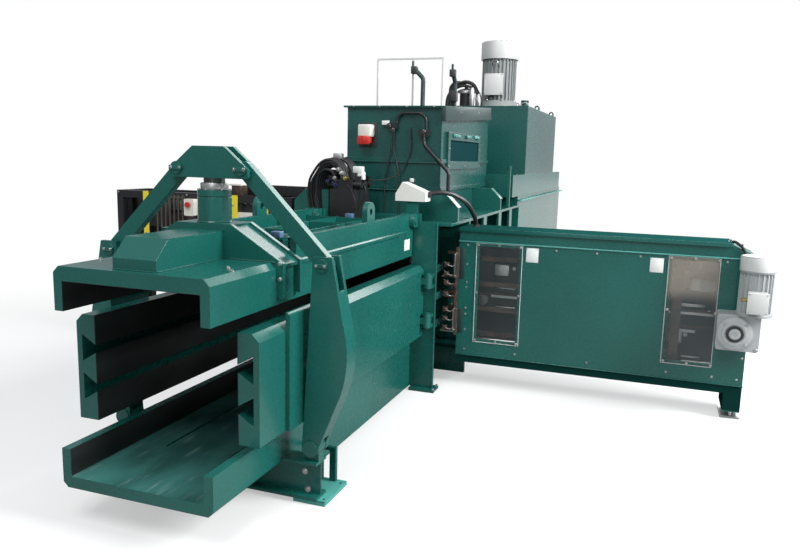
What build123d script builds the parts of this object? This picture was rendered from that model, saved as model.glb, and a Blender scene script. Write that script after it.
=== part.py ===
from build123d import *
import os
from math import atan2, cos, degrees, hypot, pi, radians, sin

# A recycling baler with a tying unit: a horizontal channel press whose
# discharge channel is squeezed by two side doors and a hinged top channel.
# Millimetres. X points to the needle cabinet, Y back along the bale's path,
# Z up. The origin is on the floor, at the centre of the front anchor holes.


def across(y):
    """Sketch plane square to the bale's path at station y; extrude -t goes back."""
    return Plane.XZ.offset(-y)


def along(x):
    """Sketch plane along the bale's path at x; its axes are Y and Z."""
    return Plane.YZ.offset(x)


def level(z):
    """Horizontal sketch plane at height z."""
    return Plane.XY.offset(z)


def middle(low, high):
    """Centre of a span."""
    return (low + high) / 2


def weld_slit(low, high):
    """Hairline joint between two welded plates: a thin box cut out from corner low to corner high."""
    with Locations(tuple(middle(a, b) for a, b in zip(low, high))):
        Box(*(b - a for a, b in zip(low, high)), mode=Mode.SUBTRACT)


def u_section(half, base_z, tip_z, web, wall, corner):
    """Outline of a channel section with cut corners, lying on base_z."""
    up = 1 if tip_z > base_z else -1
    return [
        (-half, tip_z), (-half, base_z + up * corner), (-half + corner, base_z),
        (half - corner, base_z), (half, base_z + up * corner), (half, tip_z),
        (half - wall, tip_z), (half - wall, base_z + up * web),
        (-half + wall, base_z + up * web), (-half + wall, tip_z),
    ]


# Stations along the bale's path
lip_y = -700
squeeze_y = -80
door_front_y = -487
frame_y = 1750
needle_y = 2100
rear_frame_y = 2290
hopper_y = 2350
hopper_length = 1520
rear_y = 4280
rear_end_y = 7330
cabinet_y = 1983

# Bale channel
channel_half = 387
flange_t = 45
bale_half = 375
floor_z = 222
bale_top_z = 1095
bottom_z = 170
bottom_tip_z = 349
bottom_corner = 24
top_z = 1160
top_tip_z = 966
top_corner = 28
slot_x = 180
slot_w = 14
slot_depth = 9
slot_start_y = -270
girder_t = 57
girder_foot_z = 20

# Side doors
door_inner_x = 373
door_outer_x = 479
door_bottom_z = 405
door_top_z = 903
door_bevel = 35
door_end_gap = 8
wire_z = (377, 562, 746, 935)
groove_mouth = 34
groove_root = 126
groove_depth = 77
pad_t = 21
pad_y = (-260, 20)
pad_z = (405, 955)
door_hinge_x = 520
door_hinge_y = 1705
door_hinge_z = (520, 800)
door_pin_r = 18
knuckle_r = 32
knuckle_h = 45
ear_t = 25

# Running and seating clearances
pin_fit = 0.05
side_gap = 0.3
weld = 0.2

# Top channel hinge and ribs
top_hinge_y = 1700
top_hinge_z = 1215
top_pin_r = 25
top_end_gap = 12
rib_outer_x = 386
rib_t = 33
rib_top_z = 1262
mid_rib_x = 126
mid_rib_t = 12
mid_rib_top_z = 1225
rib_tie_y = (600, 1150, 1560)
hinge_lug_r = 47
lift_lug_y = 960
lift_lug_w = 120
lift_lug_top_z = 1380
lift_hole_r = 20

# Spine box on the top channel
spine_half = 108
spine_y = -660
spine_front_z = 1208
spine_slope = 83
spine_top_z = 1290

# Squeeze saddle, cylinder and yoke
plate_t = 25
saddle_gap = 140
saddle_flat_half = 149
saddle_top_z = 1320
saddle_shoulder_z = 1157
saddle_half = 420
saddle_foot_z = 1000
saddle_cap_t = 16
saddle_cap_drop = 14
barrel_r = 80
barrel_top_z = 1472
barrel_bore_r = 60
barrel_floor_t = 15
gland_r = 58
gland_top_z = 1503
gland_depth = 20
squeeze_rod_r = 50
piston_h = 30
fork_gap = 55
yoke_top_half = 85
yoke_half = 213
yoke_top_z = 1676
yoke_shoulder_z = 1571
yoke_bottom_z = 1528
yoke_block_half = 60
yoke_block_h = 78
yoke_pin_x = 174
yoke_pin_z = 1572
link_pin_r = 22
link_pin_head_r = 30
link_pin_head = 8

# Arms and levers
arm_t = 45
arm_w = 75
lever_pin_x = 590
lever_pin_z = 1155
link_slack = 1.5
pivot_x = 540
pivot_z = 280
pivot_r = 30
lever_foot_r = 44
lever_strip_t = 18
lever_strip_z = (330, 1040)
lever_nose_z = 660
lever_nose_r = 18

# Cross beam and front feet
beam_half = 573
beam_w = 110
beam_h = 190
beam_flange_t = 14
beam_web_t = 10
lug_half = 42
foot_t = 20
foot_x = (449, 616)
foot_half_y = 130
anchor_x = 592
anchor_y = 95
anchor_r = 9
outrigger_x = (390, 566)
outrigger_y = (100, 122)
outrigger_z = 190
outrigger_post_w = 34

# Overall half width of the tying frame, the chamber's stiffeners, the deck and the tank
side_half = 650

# Tying frame
frame_t = 30
frame_half = 560
frame_top_z = 1205
frame_foot_x = (400, 585)
frame_foot_y = (1700, 1830)
frame_rear_half = side_half
frame_rear_top_z = 1200
tie_bar_x = 515
tie_bar_w = 30
tie_bar_h = 50
tie_bar_z = (460, 663, 863)
guide_x = (580, 649)
guide_y = (1900, 1978)
guide_t = 8
guide_brackets = ((800, 990), (680, 760), (410, 590))
guide_rods = (810, 748, 662, 550, 420)
guide_rod_r = 11

# Press chamber
wall_t = 25
feed_half = 350
feed_y = (2385, 3835)
needle_slot_w = 60
needle_slot_h = 54
stiffener_half = side_half
stiffener_t = 20
stiffener_flange = 110
stiffener_top_z = 1200
stiffener_y = (2800, 3375, 3850, 4260)
stop_post_y = 3770
stop_post_r = 14
stop_post_top_z = 1560
saddle_inner_x = (362, 387)
saddle_shoulder_x = 560
saddle_low_z = 1300
saddle_high_z = 1390
saddle_plate_t = 30
saddle_strip_t = 14
saddle_strip_w = 90
saddle_stations = (1950, 3375)

# Hopper
hopper_wall = 10
hopper_base_z = 1160
hopper_top_z = 2035
hopper_lip_w = 28
hopper_lip_h = 14
seam_z = (1391, 1607)
seam_h = 30
seam_t = 14
window_y = (2480, 3520)
window_z = (1560, 1850)
window_frame_w = 62
window_t = 14
pane_t = 8
knob_r = 12

# Rear body and power unit
deck_lip = 20
body_half = side_half - deck_lip
body_wall = 16
body_base_z = 150
body_top_z = 1290
deck_half = side_half
deck_y = (3890, 7100)
deck_z = 1500
leg_side = 180
tank_half = side_half
tank_y = (4500, 6480)
tank_top_z = 2190
tank_wall = 8
hook_y = (5320, 6400)
hook_eye_r = 14
pump_x = 280
pump_y = 4750
pump_r = 178
pump_flange_r = 210
pump_flange_h = 60
pump_body_top = 480
pump_box = (170, 190, 92)
cowl_r = 195
cowl_h = 170
filter_x = -40
filter_r = 70
filter_h = 140
fin_count = 28
fin_t = 6

# Main press cylinder and ram
ram_half = 372
ram_front_y = 3900
ram_length = 1400
ram_face_t = 100
ram_wall = 26
ram_top_z = 1090
ram_stroke = 1740
press_z = 655
press_barrel_r = 150
press_bore_r = 120
press_rod_r = 90
press_front_y = 4150
press_back_y = 6250
press_head_t = 60
press_piston_t = 100
press_mount_t = 60

# Needle cabinet
drive_x = 2495
cab_x = (661, drive_x + 93)
cab_depth = 300
cab_bottom_z = 175
cab_top_z = 1155
cab_hood_x = drive_x - 55
cab_hood_z = 1090
cab_wall = 6
cab_panel_z = (235, 1060)
cab_panel_t = 4
cab_tab_x = 590
cab_tab_z = (570, 755)
cab_open_left = (811, 1095)
cab_open_right = (drive_x - 395, drive_x - 111)
cab_open_z = (360, 1035)
cab_pane_t = 5
cab_pane_lap = 22
cab_leg_x = (drive_x - 15, drive_x + 93)
cab_leg_t = 8
cab_foot_t = 14
cab_stud_r = 12
rail_r = 16
rail_z = (300, 1020)
rail_y = 2225
carriage_x = 2150
carriage_t = 60
needle_h = 34
needle_t = 12
needle_tip_x = 690
needle_point = 90
sprocket_z = 612
sprocket_r = 45
sprocket_t = 16
sprocket_y = 2180
sprocket_teeth = 13
idler_x = 800
chain_t = 14
chain_gap = 0.5
gear_shaft_r = 20

# Gear motor on the cabinet
gearbox_x = (drive_x - 105, drive_x + 145)
gearbox_z = (500, 730)
gearbox_t = 150
gearbox_flange_r = 105
gearbox_hub_r = 52
gear_motor_x = drive_x + 100
gear_motor_r = 100
gear_motor_top_z = 1100
gear_motor_box = (112, 126, 60)

# Wire twister unit
twister_x = (-2370, -700)
twister_y = (2000, 2400)
twister_top_z = 1310
twister_rail_z = 1060
tube_w = 60
beam_top = 80
beam_y = 2200
beam_x = (-1300, -530)
block_x = (-700, -560)
block_y = (2122, 2250)
block_z = (300, 1020)
twist_y = 2155
twist_r = 14
twist_head_r = 24
twist_head_x = (-492, -470)
twist_seat = 55
slat_x = (-1990, -1670)
slat_w = 14
slat_t = 8
slat_end = 20
slat_low_z = 940
plate_high_z = 1250
plate_yellow = ((-2095, -2045, slat_low_z, plate_high_z), (-1255, -1185, twister_rail_z, plate_high_z))
end_plate_x = (-1000, -905)
end_plate_lip = 4
end_plate_low_z = 1180
end_plate_cuts = (65, 35)
controls_x = -1130
controls_size = (200, 50, 55)

# Control and power fittings
stop_x = -1607
stop_w = 90
stop_z = (1130, 1265)
stop_d = 60
stop_travel = 5
button_r = 22
button_stem_r = 8
cable_r = 5
hose_r = 14

os.makedirs("parts", exist_ok=True)

fork_y = squeeze_y - fork_gap / 2 - plate_t
lever_dx = lever_pin_x - yoke_pin_x
lever_dz = yoke_pin_z - lever_pin_z
arm_length = hypot(lever_dx, lever_dz)
arm_tilt = degrees(atan2(-lever_dz, lever_dx))
frame_back_y = frame_y + frame_t
ram_back_y = ram_front_y + ram_length
hopper_end_y = hopper_y + hopper_length
hopper_mid_y = middle(hopper_y, hopper_end_y)
cab_back_y = cabinet_y + cab_depth
wall_x = bale_half + wall_t
beam_top_z = foot_t + beam_h

# Discharge channel

with BuildPart() as bottom_channel:
    with BuildSketch(across(lip_y)):
        with BuildLine():
            Polyline(
                u_section(channel_half, bottom_z, bottom_tip_z, floor_z - bottom_z, flange_t, bottom_corner),
                close=True,
            )
        make_face()
    extrude(amount=lip_y - frame_y)
    girder_y = squeeze_y + beam_w / 2
    with BuildSketch(across(girder_y)):
        for side in (-1, 1):
            girder_x = side * (channel_half - girder_t / 2)
            with Locations((girder_x, middle(girder_foot_z, bottom_z + bottom_corner))):
                Rectangle(girder_t, bottom_z + bottom_corner - girder_foot_z)
    extrude(amount=girder_y - frame_y)
    with BuildSketch(level(floor_z)):
        slot_length = frame_y - slot_start_y - 2 * slot_w
        for side in (-1, 1):
            with Locations((side * slot_x, middle(slot_start_y, frame_y))):
                SlotOverall(slot_length, slot_w, rotation=90)
    extrude(amount=-slot_depth, mode=Mode.SUBTRACT)
bottom_channel.part.label = "bottom_channel"
export_step(bottom_channel.part, "parts/bottom_channel.step")

with BuildPart() as front_cross_beam:
    with BuildSketch(along(-beam_half)):
        with Locations((squeeze_y, foot_t + beam_h / 2)):
            Rectangle(beam_w, beam_h)
        for side in (-1, 1):
            with Locations((squeeze_y + side * (beam_w + beam_web_t) / 4, foot_t + beam_h / 2)):
                Rectangle((beam_w - beam_web_t) / 2, beam_h - 2 * beam_flange_t, mode=Mode.SUBTRACT)
    extrude(amount=2 * beam_half)
    with BuildSketch(across(squeeze_y - fork_gap / 2 + side_gap)):
        for side in (-1, 1):
            with Locations((side * pivot_x, pivot_z)):
                Circle(lug_half)
            with Locations((side * pivot_x, middle(beam_top_z, pivot_z))):
                Rectangle(2 * lug_half - 20, pivot_z - beam_top_z)
        with Locations((-pivot_x, pivot_z), (pivot_x, pivot_z)):
            Circle(pivot_r + pin_fit, mode=Mode.SUBTRACT)
    extrude(amount=-(fork_gap - 2 * side_gap))
    with BuildSketch(across(squeeze_y - beam_w)):
        with BuildLine():
            Polyline(
                (-channel_half, top_z), (-channel_half, bottom_z + bottom_corner),
                (-channel_half + bottom_corner, bottom_z), (channel_half - bottom_corner, bottom_z),
                (channel_half, bottom_z + bottom_corner), (channel_half, top_z), close=True,
            )
        make_face()
    extrude(amount=-2 * beam_w, mode=Mode.SUBTRACT)
front_cross_beam.part.label = "front_cross_beam"
export_step(front_cross_beam.part, "parts/front_cross_beam.step")

with BuildPart() as front_feet:
    with BuildSketch(level(0)):
        for side in (-1, 1):
            with Locations((side * middle(*foot_x), 0)):
                Rectangle(foot_x[1] - foot_x[0], 2 * foot_half_y)
        with GridLocations(2 * anchor_x, 2 * anchor_y, 2, 2):
            Circle(anchor_r, mode=Mode.SUBTRACT)
    extrude(amount=foot_t)
    with BuildSketch(across(outrigger_y[0])):
        for side in (-1, 1):
            with Locations((side * (outrigger_x[1] - outrigger_post_w / 2), middle(foot_t, outrigger_z))):
                Rectangle(outrigger_post_w, outrigger_z - foot_t)
            with Locations((side * (foot_x[0] + outrigger_post_w), middle(foot_t, outrigger_z))):
                Rectangle(outrigger_post_w / 2, outrigger_z - foot_t)
            with Locations((side * middle(*outrigger_x), outrigger_z)):
                Rectangle(outrigger_x[1] - outrigger_x[0], outrigger_post_w / 2)
    extrude(amount=outrigger_y[0] - outrigger_y[1])
front_feet.part.label = "front_feet"
export_step(front_feet.part, "parts/front_feet.step")

# Tying frame

with BuildPart() as tying_frame_front:
    with BuildSketch(across(frame_y)):
        with Locations((0, middle(foot_t, frame_top_z))):
            Rectangle(2 * frame_half, frame_top_z - foot_t)
        for side in (-1, 1):
            with Locations((side * (rib_outer_x - rib_t / 2), middle(top_z, top_hinge_z + hinge_lug_r))):
                Rectangle(4 * rib_t, top_hinge_z + hinge_lug_r - top_z)
        with Locations((0, middle(floor_z, bale_top_z))):
            Rectangle(2 * bale_half, bale_top_z - floor_z, mode=Mode.SUBTRACT)
    extrude(amount=-frame_t)
    for side in (-1, 1):
        for lug_x in (rib_outer_x - 2 * rib_t - 1, rib_outer_x + 1):
            low_x = lug_x if side > 0 else -lug_x - rib_t
            with BuildSketch(along(low_x)):
                with Locations((top_hinge_y, top_hinge_z)):
                    Circle(hinge_lug_r)
                with Locations((middle(top_hinge_y, frame_y), top_hinge_z)):
                    Rectangle(frame_y - top_hinge_y, 2 * hinge_lug_r)
                with Locations((top_hinge_y, top_hinge_z)):
                    Circle(top_pin_r + pin_fit, mode=Mode.SUBTRACT)
            extrude(amount=rib_t)
    for hinge_z in door_hinge_z:
        for ear_z in (hinge_z - knuckle_h / 2 - side_gap - ear_t, hinge_z + knuckle_h / 2 + side_gap):
            with BuildSketch(level(ear_z)):
                for side in (-1, 1):
                    with Locations((side * door_hinge_x, door_hinge_y)):
                        Circle(knuckle_r)
                    with Locations((side * door_hinge_x, middle(door_hinge_y, frame_y))):
                        Rectangle(2 * knuckle_r, frame_y - door_hinge_y)
                    with Locations((side * door_hinge_x, door_hinge_y)):
                        Circle(door_pin_r + pin_fit, mode=Mode.SUBTRACT)
            extrude(amount=ear_t)
    with BuildSketch(level(0)):
        for side in (-1, 1):
            with Locations((side * middle(*frame_foot_x), middle(*frame_foot_y))):
                Rectangle(frame_foot_x[1] - frame_foot_x[0], frame_foot_y[1] - frame_foot_y[0])
            with Locations((side * (frame_foot_x[1] - 40), frame_foot_y[0] + 25)):
                Circle(anchor_r, mode=Mode.SUBTRACT)
    extrude(amount=foot_t)
tying_frame_front.part.label = "tying_frame_front"
export_step(tying_frame_front.part, "parts/tying_frame_front.step")

with BuildPart() as tying_frame_rear:
    with BuildSketch(across(rear_frame_y)):
        with Locations((0, middle(0, frame_top_z))):
            Rectangle(2 * frame_rear_half, frame_top_z)
        with Locations((0, middle(bottom_z, top_z))):
            Rectangle(2 * wall_x, top_z - bottom_z, mode=Mode.SUBTRACT)
        with Locations((0, bottom_z / 4)):
            Rectangle(2 * bale_half, bottom_z / 2, mode=Mode.SUBTRACT)
    extrude(amount=-frame_t)
tying_frame_rear.part.label = "tying_frame_rear"
export_step(tying_frame_rear.part, "parts/tying_frame_rear.step")

with BuildPart() as tying_frame_bars:
    with BuildSketch(across(frame_back_y)):
        for bar_z in tie_bar_z:
            with Locations((-tie_bar_x, bar_z), (tie_bar_x, bar_z)):
                Rectangle(tie_bar_w, tie_bar_h)
    extrude(amount=frame_back_y - rear_frame_y)
tying_frame_bars.part.label = "tying_frame_bars"
export_step(tying_frame_bars.part, "parts/tying_frame_bars.step")

# Cranked guides beside the frame that lead the wires to the needles
with BuildPart() as wire_guides:
    strip_z = (guide_brackets[-1][0] - 30, guide_brackets[0][1] + 30)
    with BuildSketch(along(guide_x[1])):
        with Locations((middle(guide_y[0] + 40, cabinet_y), middle(*strip_z))):
            Rectangle(cabinet_y - guide_y[0] - 40, strip_z[1] - strip_z[0])
    extrude(amount=cab_x[0] - guide_x[1])
    with BuildSketch(across(guide_y[1] - guide_t)):
        for low_z, high_z in guide_brackets:
            with BuildLine():
                Polyline(
                    (guide_x[1], low_z), (guide_x[0], low_z), (guide_x[0], low_z + 22),
                    (guide_x[1] - 24, low_z + 22), (guide_x[1] - 24, high_z - 22), (guide_x[0], high_z - 22),
                    (guide_x[0], high_z), (guide_x[1], high_z), close=True,
                )
            make_face()
    extrude(amount=-guide_t)
    with BuildSketch(along(guide_x[0] - 10)):
        for rod_z in guide_rods:
            with Locations((guide_y[1] - guide_t - guide_rod_r - 12, rod_z)):
                Circle(guide_rod_r)
    extrude(amount=guide_x[1] - guide_x[0] + 10)
wire_guides.part.label = "wire_guides"
export_step(wire_guides.part, "parts/wire_guides.step")

# Hinge pins of the doors and the top channel, and the lever pivots
with BuildPart() as pivot_pins:
    pin_length = knuckle_h + 2 * ear_t + 20
    with BuildSketch(level(door_hinge_z[0] - pin_length / 2)):
        with Locations((-door_hinge_x, door_hinge_y), (door_hinge_x, door_hinge_y)):
            Circle(door_pin_r)
    extrude(amount=pin_length)
    with BuildSketch(level(door_hinge_z[1] - pin_length / 2)):
        with Locations((-door_hinge_x, door_hinge_y), (door_hinge_x, door_hinge_y)):
            Circle(door_pin_r)
    extrude(amount=pin_length)
    for side in (-1, 1):
        with BuildSketch(along(side * (rib_outer_x - rib_t / 2) - 1.7 * rib_t)):
            with Locations((top_hinge_y, top_hinge_z)):
                Circle(top_pin_r)
        extrude(amount=3.4 * rib_t)
        with BuildSketch(across(fork_y - link_pin_head)):
            with Locations((side * pivot_x, pivot_z)):
                Circle(pivot_r)
        extrude(amount=-(fork_gap + 2 * plate_t + 2 * link_pin_head))
        for head_y in (fork_y - link_pin_head, fork_y + fork_gap + 2 * plate_t + side_gap):
            with BuildSketch(across(head_y)):
                with Locations((side * pivot_x, pivot_z)):
                    Circle(pivot_r + 10)
            extrude(amount=-(link_pin_head - side_gap))
pivot_pins.part.label = "pivot_pins"
export_step(pivot_pins.part, "parts/pivot_pins.step")

# Top channel with its ribs, and the squeeze gear that it carries

with BuildPart() as top_channel:
    with BuildSketch(across(lip_y)):
        with BuildLine():
            Polyline(
                u_section(channel_half, top_z, top_tip_z, top_z - bale_top_z, flange_t, top_corner),
                close=True,
            )
        make_face()
    extrude(amount=lip_y - (frame_y - top_end_gap))
    with BuildSketch(along(-spine_half)):
        with BuildLine():
            Polyline(
                (spine_y, top_z), (spine_y, spine_front_z), (spine_y + spine_slope, spine_top_z),
                (squeeze_y - saddle_gap / 2 - plate_t, spine_top_z), (squeeze_y - saddle_gap / 2 - plate_t, top_z),
                close=True,
            )
        make_face()
    extrude(amount=2 * spine_half)
    rib_y = squeeze_y + saddle_gap / 2 + plate_t
    for rib_x in (-rib_outer_x, rib_outer_x - rib_t):
        with BuildSketch(along(rib_x)):
            with BuildLine():
                Polyline(
                    (rib_y, top_z - top_corner), (rib_y, rib_top_z), (top_hinge_y, rib_top_z),
                    (top_hinge_y, top_z - top_corner), close=True,
                )
            make_face()
            with Locations((top_hinge_y, top_hinge_z)):
                Circle(hinge_lug_r)
            with Locations((middle(top_hinge_y, frame_y - top_end_gap), middle(top_z - top_corner, top_z))):
                Rectangle(frame_y - top_end_gap - top_hinge_y, top_corner)
            with Locations((lift_lug_y, middle(rib_top_z, lift_lug_top_z - lift_lug_w / 2))):
                Rectangle(lift_lug_w, lift_lug_top_z - lift_lug_w / 2 - rib_top_z)
            with Locations((lift_lug_y, lift_lug_top_z - lift_lug_w / 2)):
                Circle(lift_lug_w / 2)
                Circle(lift_hole_r, mode=Mode.SUBTRACT)
            with Locations((top_hinge_y, top_hinge_z)):
                Circle(top_pin_r + pin_fit, mode=Mode.SUBTRACT)
        extrude(amount=rib_t)
    with BuildSketch(across(rib_y)):
        for side in (-1, 1):
            with Locations((side * mid_rib_x, middle(top_z, mid_rib_top_z))):
                Rectangle(mid_rib_t, mid_rib_top_z - top_z)
    extrude(amount=rib_y - (top_hinge_y - 2 * hinge_lug_r))
    for tie_y in rib_tie_y:
        with BuildSketch(across(tie_y)):
            with Locations((0, middle(top_z, mid_rib_top_z))):
                Rectangle(2 * (rib_outer_x - rib_t), mid_rib_top_z - top_z)
        extrude(amount=-mid_rib_t)
    weld_slit((-channel_half, lip_y, top_z), (channel_half, frame_y, top_z + weld))
    weld_slit((-channel_half, rib_y, rib_top_z), (channel_half, frame_y, rib_top_z + weld))
    for side in (-1, 1):
        web_x = sorted((side * (channel_half - flange_t), side * (channel_half - flange_t - weld)))
        weld_slit((web_x[0], lip_y, top_tip_z), (web_x[1], frame_y, top_z))
        for joint_x in (mid_rib_x - mid_rib_t / 2 - weld, mid_rib_x + mid_rib_t / 2, rib_outer_x - rib_t - weld):
            tie_x = sorted((side * joint_x, side * (joint_x + weld)))
            weld_slit((tie_x[0], rib_y, top_z), (tie_x[1], top_hinge_y, mid_rib_top_z))
top_channel.part.label = "top_channel"
export_step(top_channel.part, "parts/top_channel.step")

with BuildSketch() as saddle_outline:
    with BuildLine():
        Polyline(
            (-saddle_flat_half, saddle_top_z), (saddle_flat_half, saddle_top_z),
            (saddle_half, saddle_shoulder_z), (saddle_half, saddle_foot_z), (channel_half, saddle_foot_z),
            (channel_half, top_z - top_corner), (channel_half - top_corner, top_z),
            (-channel_half + top_corner, top_z), (-channel_half, top_z - top_corner),
            (-channel_half, saddle_foot_z), (-saddle_half, saddle_foot_z), (-saddle_half, saddle_shoulder_z),
            close=True,
        )
    make_face()

with BuildPart() as squeeze_saddle:
    front_face_y = squeeze_y - saddle_gap / 2 - plate_t
    for plate_y in (front_face_y, squeeze_y + saddle_gap / 2):
        with BuildSketch(across(plate_y)):
            add(saddle_outline.sketch)
        extrude(amount=-plate_t)
    with BuildSketch(across(front_face_y + plate_t)):
        with Locations((0, saddle_top_z - saddle_cap_t / 2)):
            Rectangle(2 * saddle_flat_half, saddle_cap_t)
        for side in (-1, 1):
            with BuildLine():
                Polyline(
                    (side * saddle_flat_half, saddle_top_z - saddle_cap_drop),
                    (side * (saddle_half - 12), saddle_shoulder_z - saddle_cap_drop + 6),
                    (side * (saddle_half - 12), saddle_shoulder_z - saddle_cap_drop - 10),
                    (side * saddle_flat_half, saddle_top_z - saddle_cap_drop - saddle_cap_t - 6),
                    close=True,
                )
            make_face()
    extrude(amount=-saddle_gap)
    with BuildSketch(level(saddle_top_z - saddle_cap_t)):
        with Locations((0, squeeze_y)):
            Rectangle(2 * saddle_flat_half - 30, saddle_gap + 2 * plate_t)
    extrude(amount=saddle_cap_t)
squeeze_saddle.part.label = "squeeze_saddle"
export_step(squeeze_saddle.part, "parts/squeeze_saddle.step")

with BuildPart() as squeeze_cylinder:
    with BuildSketch(Plane.XZ.offset(-squeeze_y)):
        with BuildLine():
            Polyline(
                (0, saddle_top_z), (barrel_r, saddle_top_z), (barrel_r, barrel_top_z - 34),
                (barrel_r - 3, barrel_top_z - 34), (barrel_r - 3, barrel_top_z - 29),
                (barrel_r, barrel_top_z - 29), (barrel_r, barrel_top_z), (barrel_bore_r, barrel_top_z),
                (barrel_bore_r, saddle_top_z + barrel_floor_t), (0, saddle_top_z + barrel_floor_t), close=True,
            )
        make_face()
    revolve(axis=Axis((0, squeeze_y, 0), (0, 0, 1)))
    with BuildSketch(level(barrel_top_z)):
        with Locations((0, squeeze_y)):
            Circle(barrel_bore_r + 4)
            Circle(squeeze_rod_r + pin_fit, mode=Mode.SUBTRACT)
    extrude(amount=gland_top_z - barrel_top_z)
squeeze_cylinder.part.label = "squeeze_cylinder"
export_step(squeeze_cylinder.part, "parts/squeeze_cylinder.step")

with BuildPart() as squeeze_rod:
    with BuildSketch(level(saddle_top_z + barrel_floor_t + 10)):
        with Locations((0, squeeze_y)):
            Circle(barrel_bore_r - 0.5)
    extrude(amount=piston_h)
    with BuildSketch(level(saddle_top_z + barrel_floor_t + 10)):
        with Locations((0, squeeze_y)):
            Circle(squeeze_rod_r)
    extrude(amount=yoke_bottom_z - saddle_top_z - barrel_floor_t - 10)
squeeze_rod.part.label = "squeeze_rod"
export_step(squeeze_rod.part, "parts/squeeze_rod.step")

with BuildPart() as yoke:
    for plate_y in (fork_y, fork_y + plate_t + fork_gap):
        with BuildSketch(across(plate_y)):
            with BuildLine():
                Polyline(
                    (-yoke_top_half, yoke_top_z), (yoke_top_half, yoke_top_z),
                    (yoke_half, yoke_shoulder_z), (yoke_half, yoke_bottom_z + 8), (yoke_half - 8, yoke_bottom_z),
                    (-yoke_half + 8, yoke_bottom_z), (-yoke_half, yoke_bottom_z + 8),
                    (-yoke_half, yoke_shoulder_z), close=True,
                )
            make_face()
            with Locations((-yoke_pin_x, yoke_pin_z), (yoke_pin_x, yoke_pin_z)):
                Circle(link_pin_r + pin_fit, mode=Mode.SUBTRACT)
        extrude(amount=-plate_t)
    with BuildSketch(across(fork_y + plate_t)):
        with Locations((0, yoke_bottom_z + yoke_block_h / 2)):
            Rectangle(2 * yoke_block_half, yoke_block_h)
    extrude(amount=-fork_gap)
yoke.part.label = "yoke"
export_step(yoke.part, "parts/yoke.step")

with BuildPart() as yoke_pins:
    for side in (-1, 1):
        with BuildSketch(across(fork_y - link_pin_head)):
            with Locations((side * yoke_pin_x, yoke_pin_z)):
                Circle(link_pin_head_r)
        extrude(amount=-link_pin_head)
        with BuildSketch(across(fork_y)):
            with Locations((side * yoke_pin_x, yoke_pin_z)):
                Circle(link_pin_r)
        extrude(amount=-(fork_gap + 2 * plate_t + link_pin_head))
yoke_pins.part.label = "yoke_pins"
export_step(yoke_pins.part, "parts/yoke_pins.step")

with BuildPart() as arm_right:
    with BuildSketch(across(squeeze_y - arm_t / 2)):
        with Locations((middle(yoke_pin_x, lever_pin_x), middle(yoke_pin_z, lever_pin_z))):
            SlotCenterToCenter(arm_length, arm_w, rotation=arm_tilt)
        with Locations((yoke_pin_x, yoke_pin_z)):
            Circle(link_pin_r + pin_fit, mode=Mode.SUBTRACT)
        with Locations((lever_pin_x, lever_pin_z)):
            Circle(link_pin_r + link_slack, mode=Mode.SUBTRACT)
    extrude(amount=-arm_t)
arm_right.part.label = "arm_right"
export_step(arm_right.part, "parts/arm_right.step")

with BuildPart() as arm_left:
    mirror(arm_right.part, about=Plane.YZ)
arm_left.part.label = "arm_left"
export_step(arm_left.part, "parts/arm_left.step")

# Lever outline seen from the front: straight inner edge, bowed outer edge
lever_top_z = 1195
lever_inner_top_x = 548
lever_outer_top_x = 640
bow_start = (698, 900)
bow_peak = (721, 735)
bow_end = (690, 556)
foot_out = (pivot_x + lever_foot_r * cos(radians(12)), pivot_z + lever_foot_r * sin(radians(12)))
foot_in = (pivot_x - lever_foot_r * cos(radians(3)), pivot_z - lever_foot_r * sin(radians(3)))
with BuildSketch() as lever_outline:
    with BuildLine():
        Line((lever_inner_top_x, lever_top_z), (lever_outer_top_x, lever_top_z))
        Line((lever_outer_top_x, lever_top_z), bow_start)
        ThreePointArc(bow_start, bow_peak, bow_end)
        Line(bow_end, foot_out)
        ThreePointArc(foot_out, (pivot_x, pivot_z - lever_foot_r), foot_in)
        Line(foot_in, (lever_inner_top_x, lever_top_z))
    make_face()

with BuildPart() as lever_right:
    for plate_y in (fork_y, fork_y + plate_t + fork_gap):
        with BuildSketch(across(plate_y)):
            add(lever_outline.sketch)
            with Locations((pivot_x, pivot_z)):
                Circle(pivot_r + pin_fit, mode=Mode.SUBTRACT)
        extrude(amount=-plate_t)
    with BuildSketch(across(fork_y + plate_t)):
        add(lever_outline.sketch)
        offset(amount=-lever_strip_t, mode=Mode.SUBTRACT)
        with Locations((middle(pivot_x, bow_peak[0]), middle(*lever_strip_z))):
            Rectangle(2 * (bow_peak[0] - pivot_x), lever_strip_z[1] - lever_strip_z[0], mode=Mode.INTERSECT)
        nose_x = door_outer_x + pad_t + side_gap + lever_nose_r
        with Locations((nose_x, lever_nose_z)):
            Circle(lever_nose_r)
        with Locations((nose_x + lever_nose_r, lever_nose_z)):
            Rectangle(2 * lever_nose_r, 2 * lever_nose_r)
    extrude(amount=-fork_gap)
    with BuildSketch(across(fork_y - link_pin_head)):
        with Locations((lever_pin_x, lever_pin_z)):
            Circle(link_pin_r)
    extrude(amount=-(fork_gap + 2 * plate_t + 2 * link_pin_head))
    for head_y in (fork_y - link_pin_head, fork_y + fork_gap + 2 * plate_t):
        with BuildSketch(across(head_y)):
            with Locations((lever_pin_x, lever_pin_z)):
                Circle(link_pin_head_r)
        extrude(amount=-link_pin_head)
lever_right.part.label = "lever_right"
export_step(lever_right.part, "parts/lever_right.step")

with BuildPart() as lever_left:
    mirror(lever_right.part, about=Plane.YZ)
lever_left.part.label = "lever_left"
export_step(lever_left.part, "parts/lever_left.step")

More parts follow.
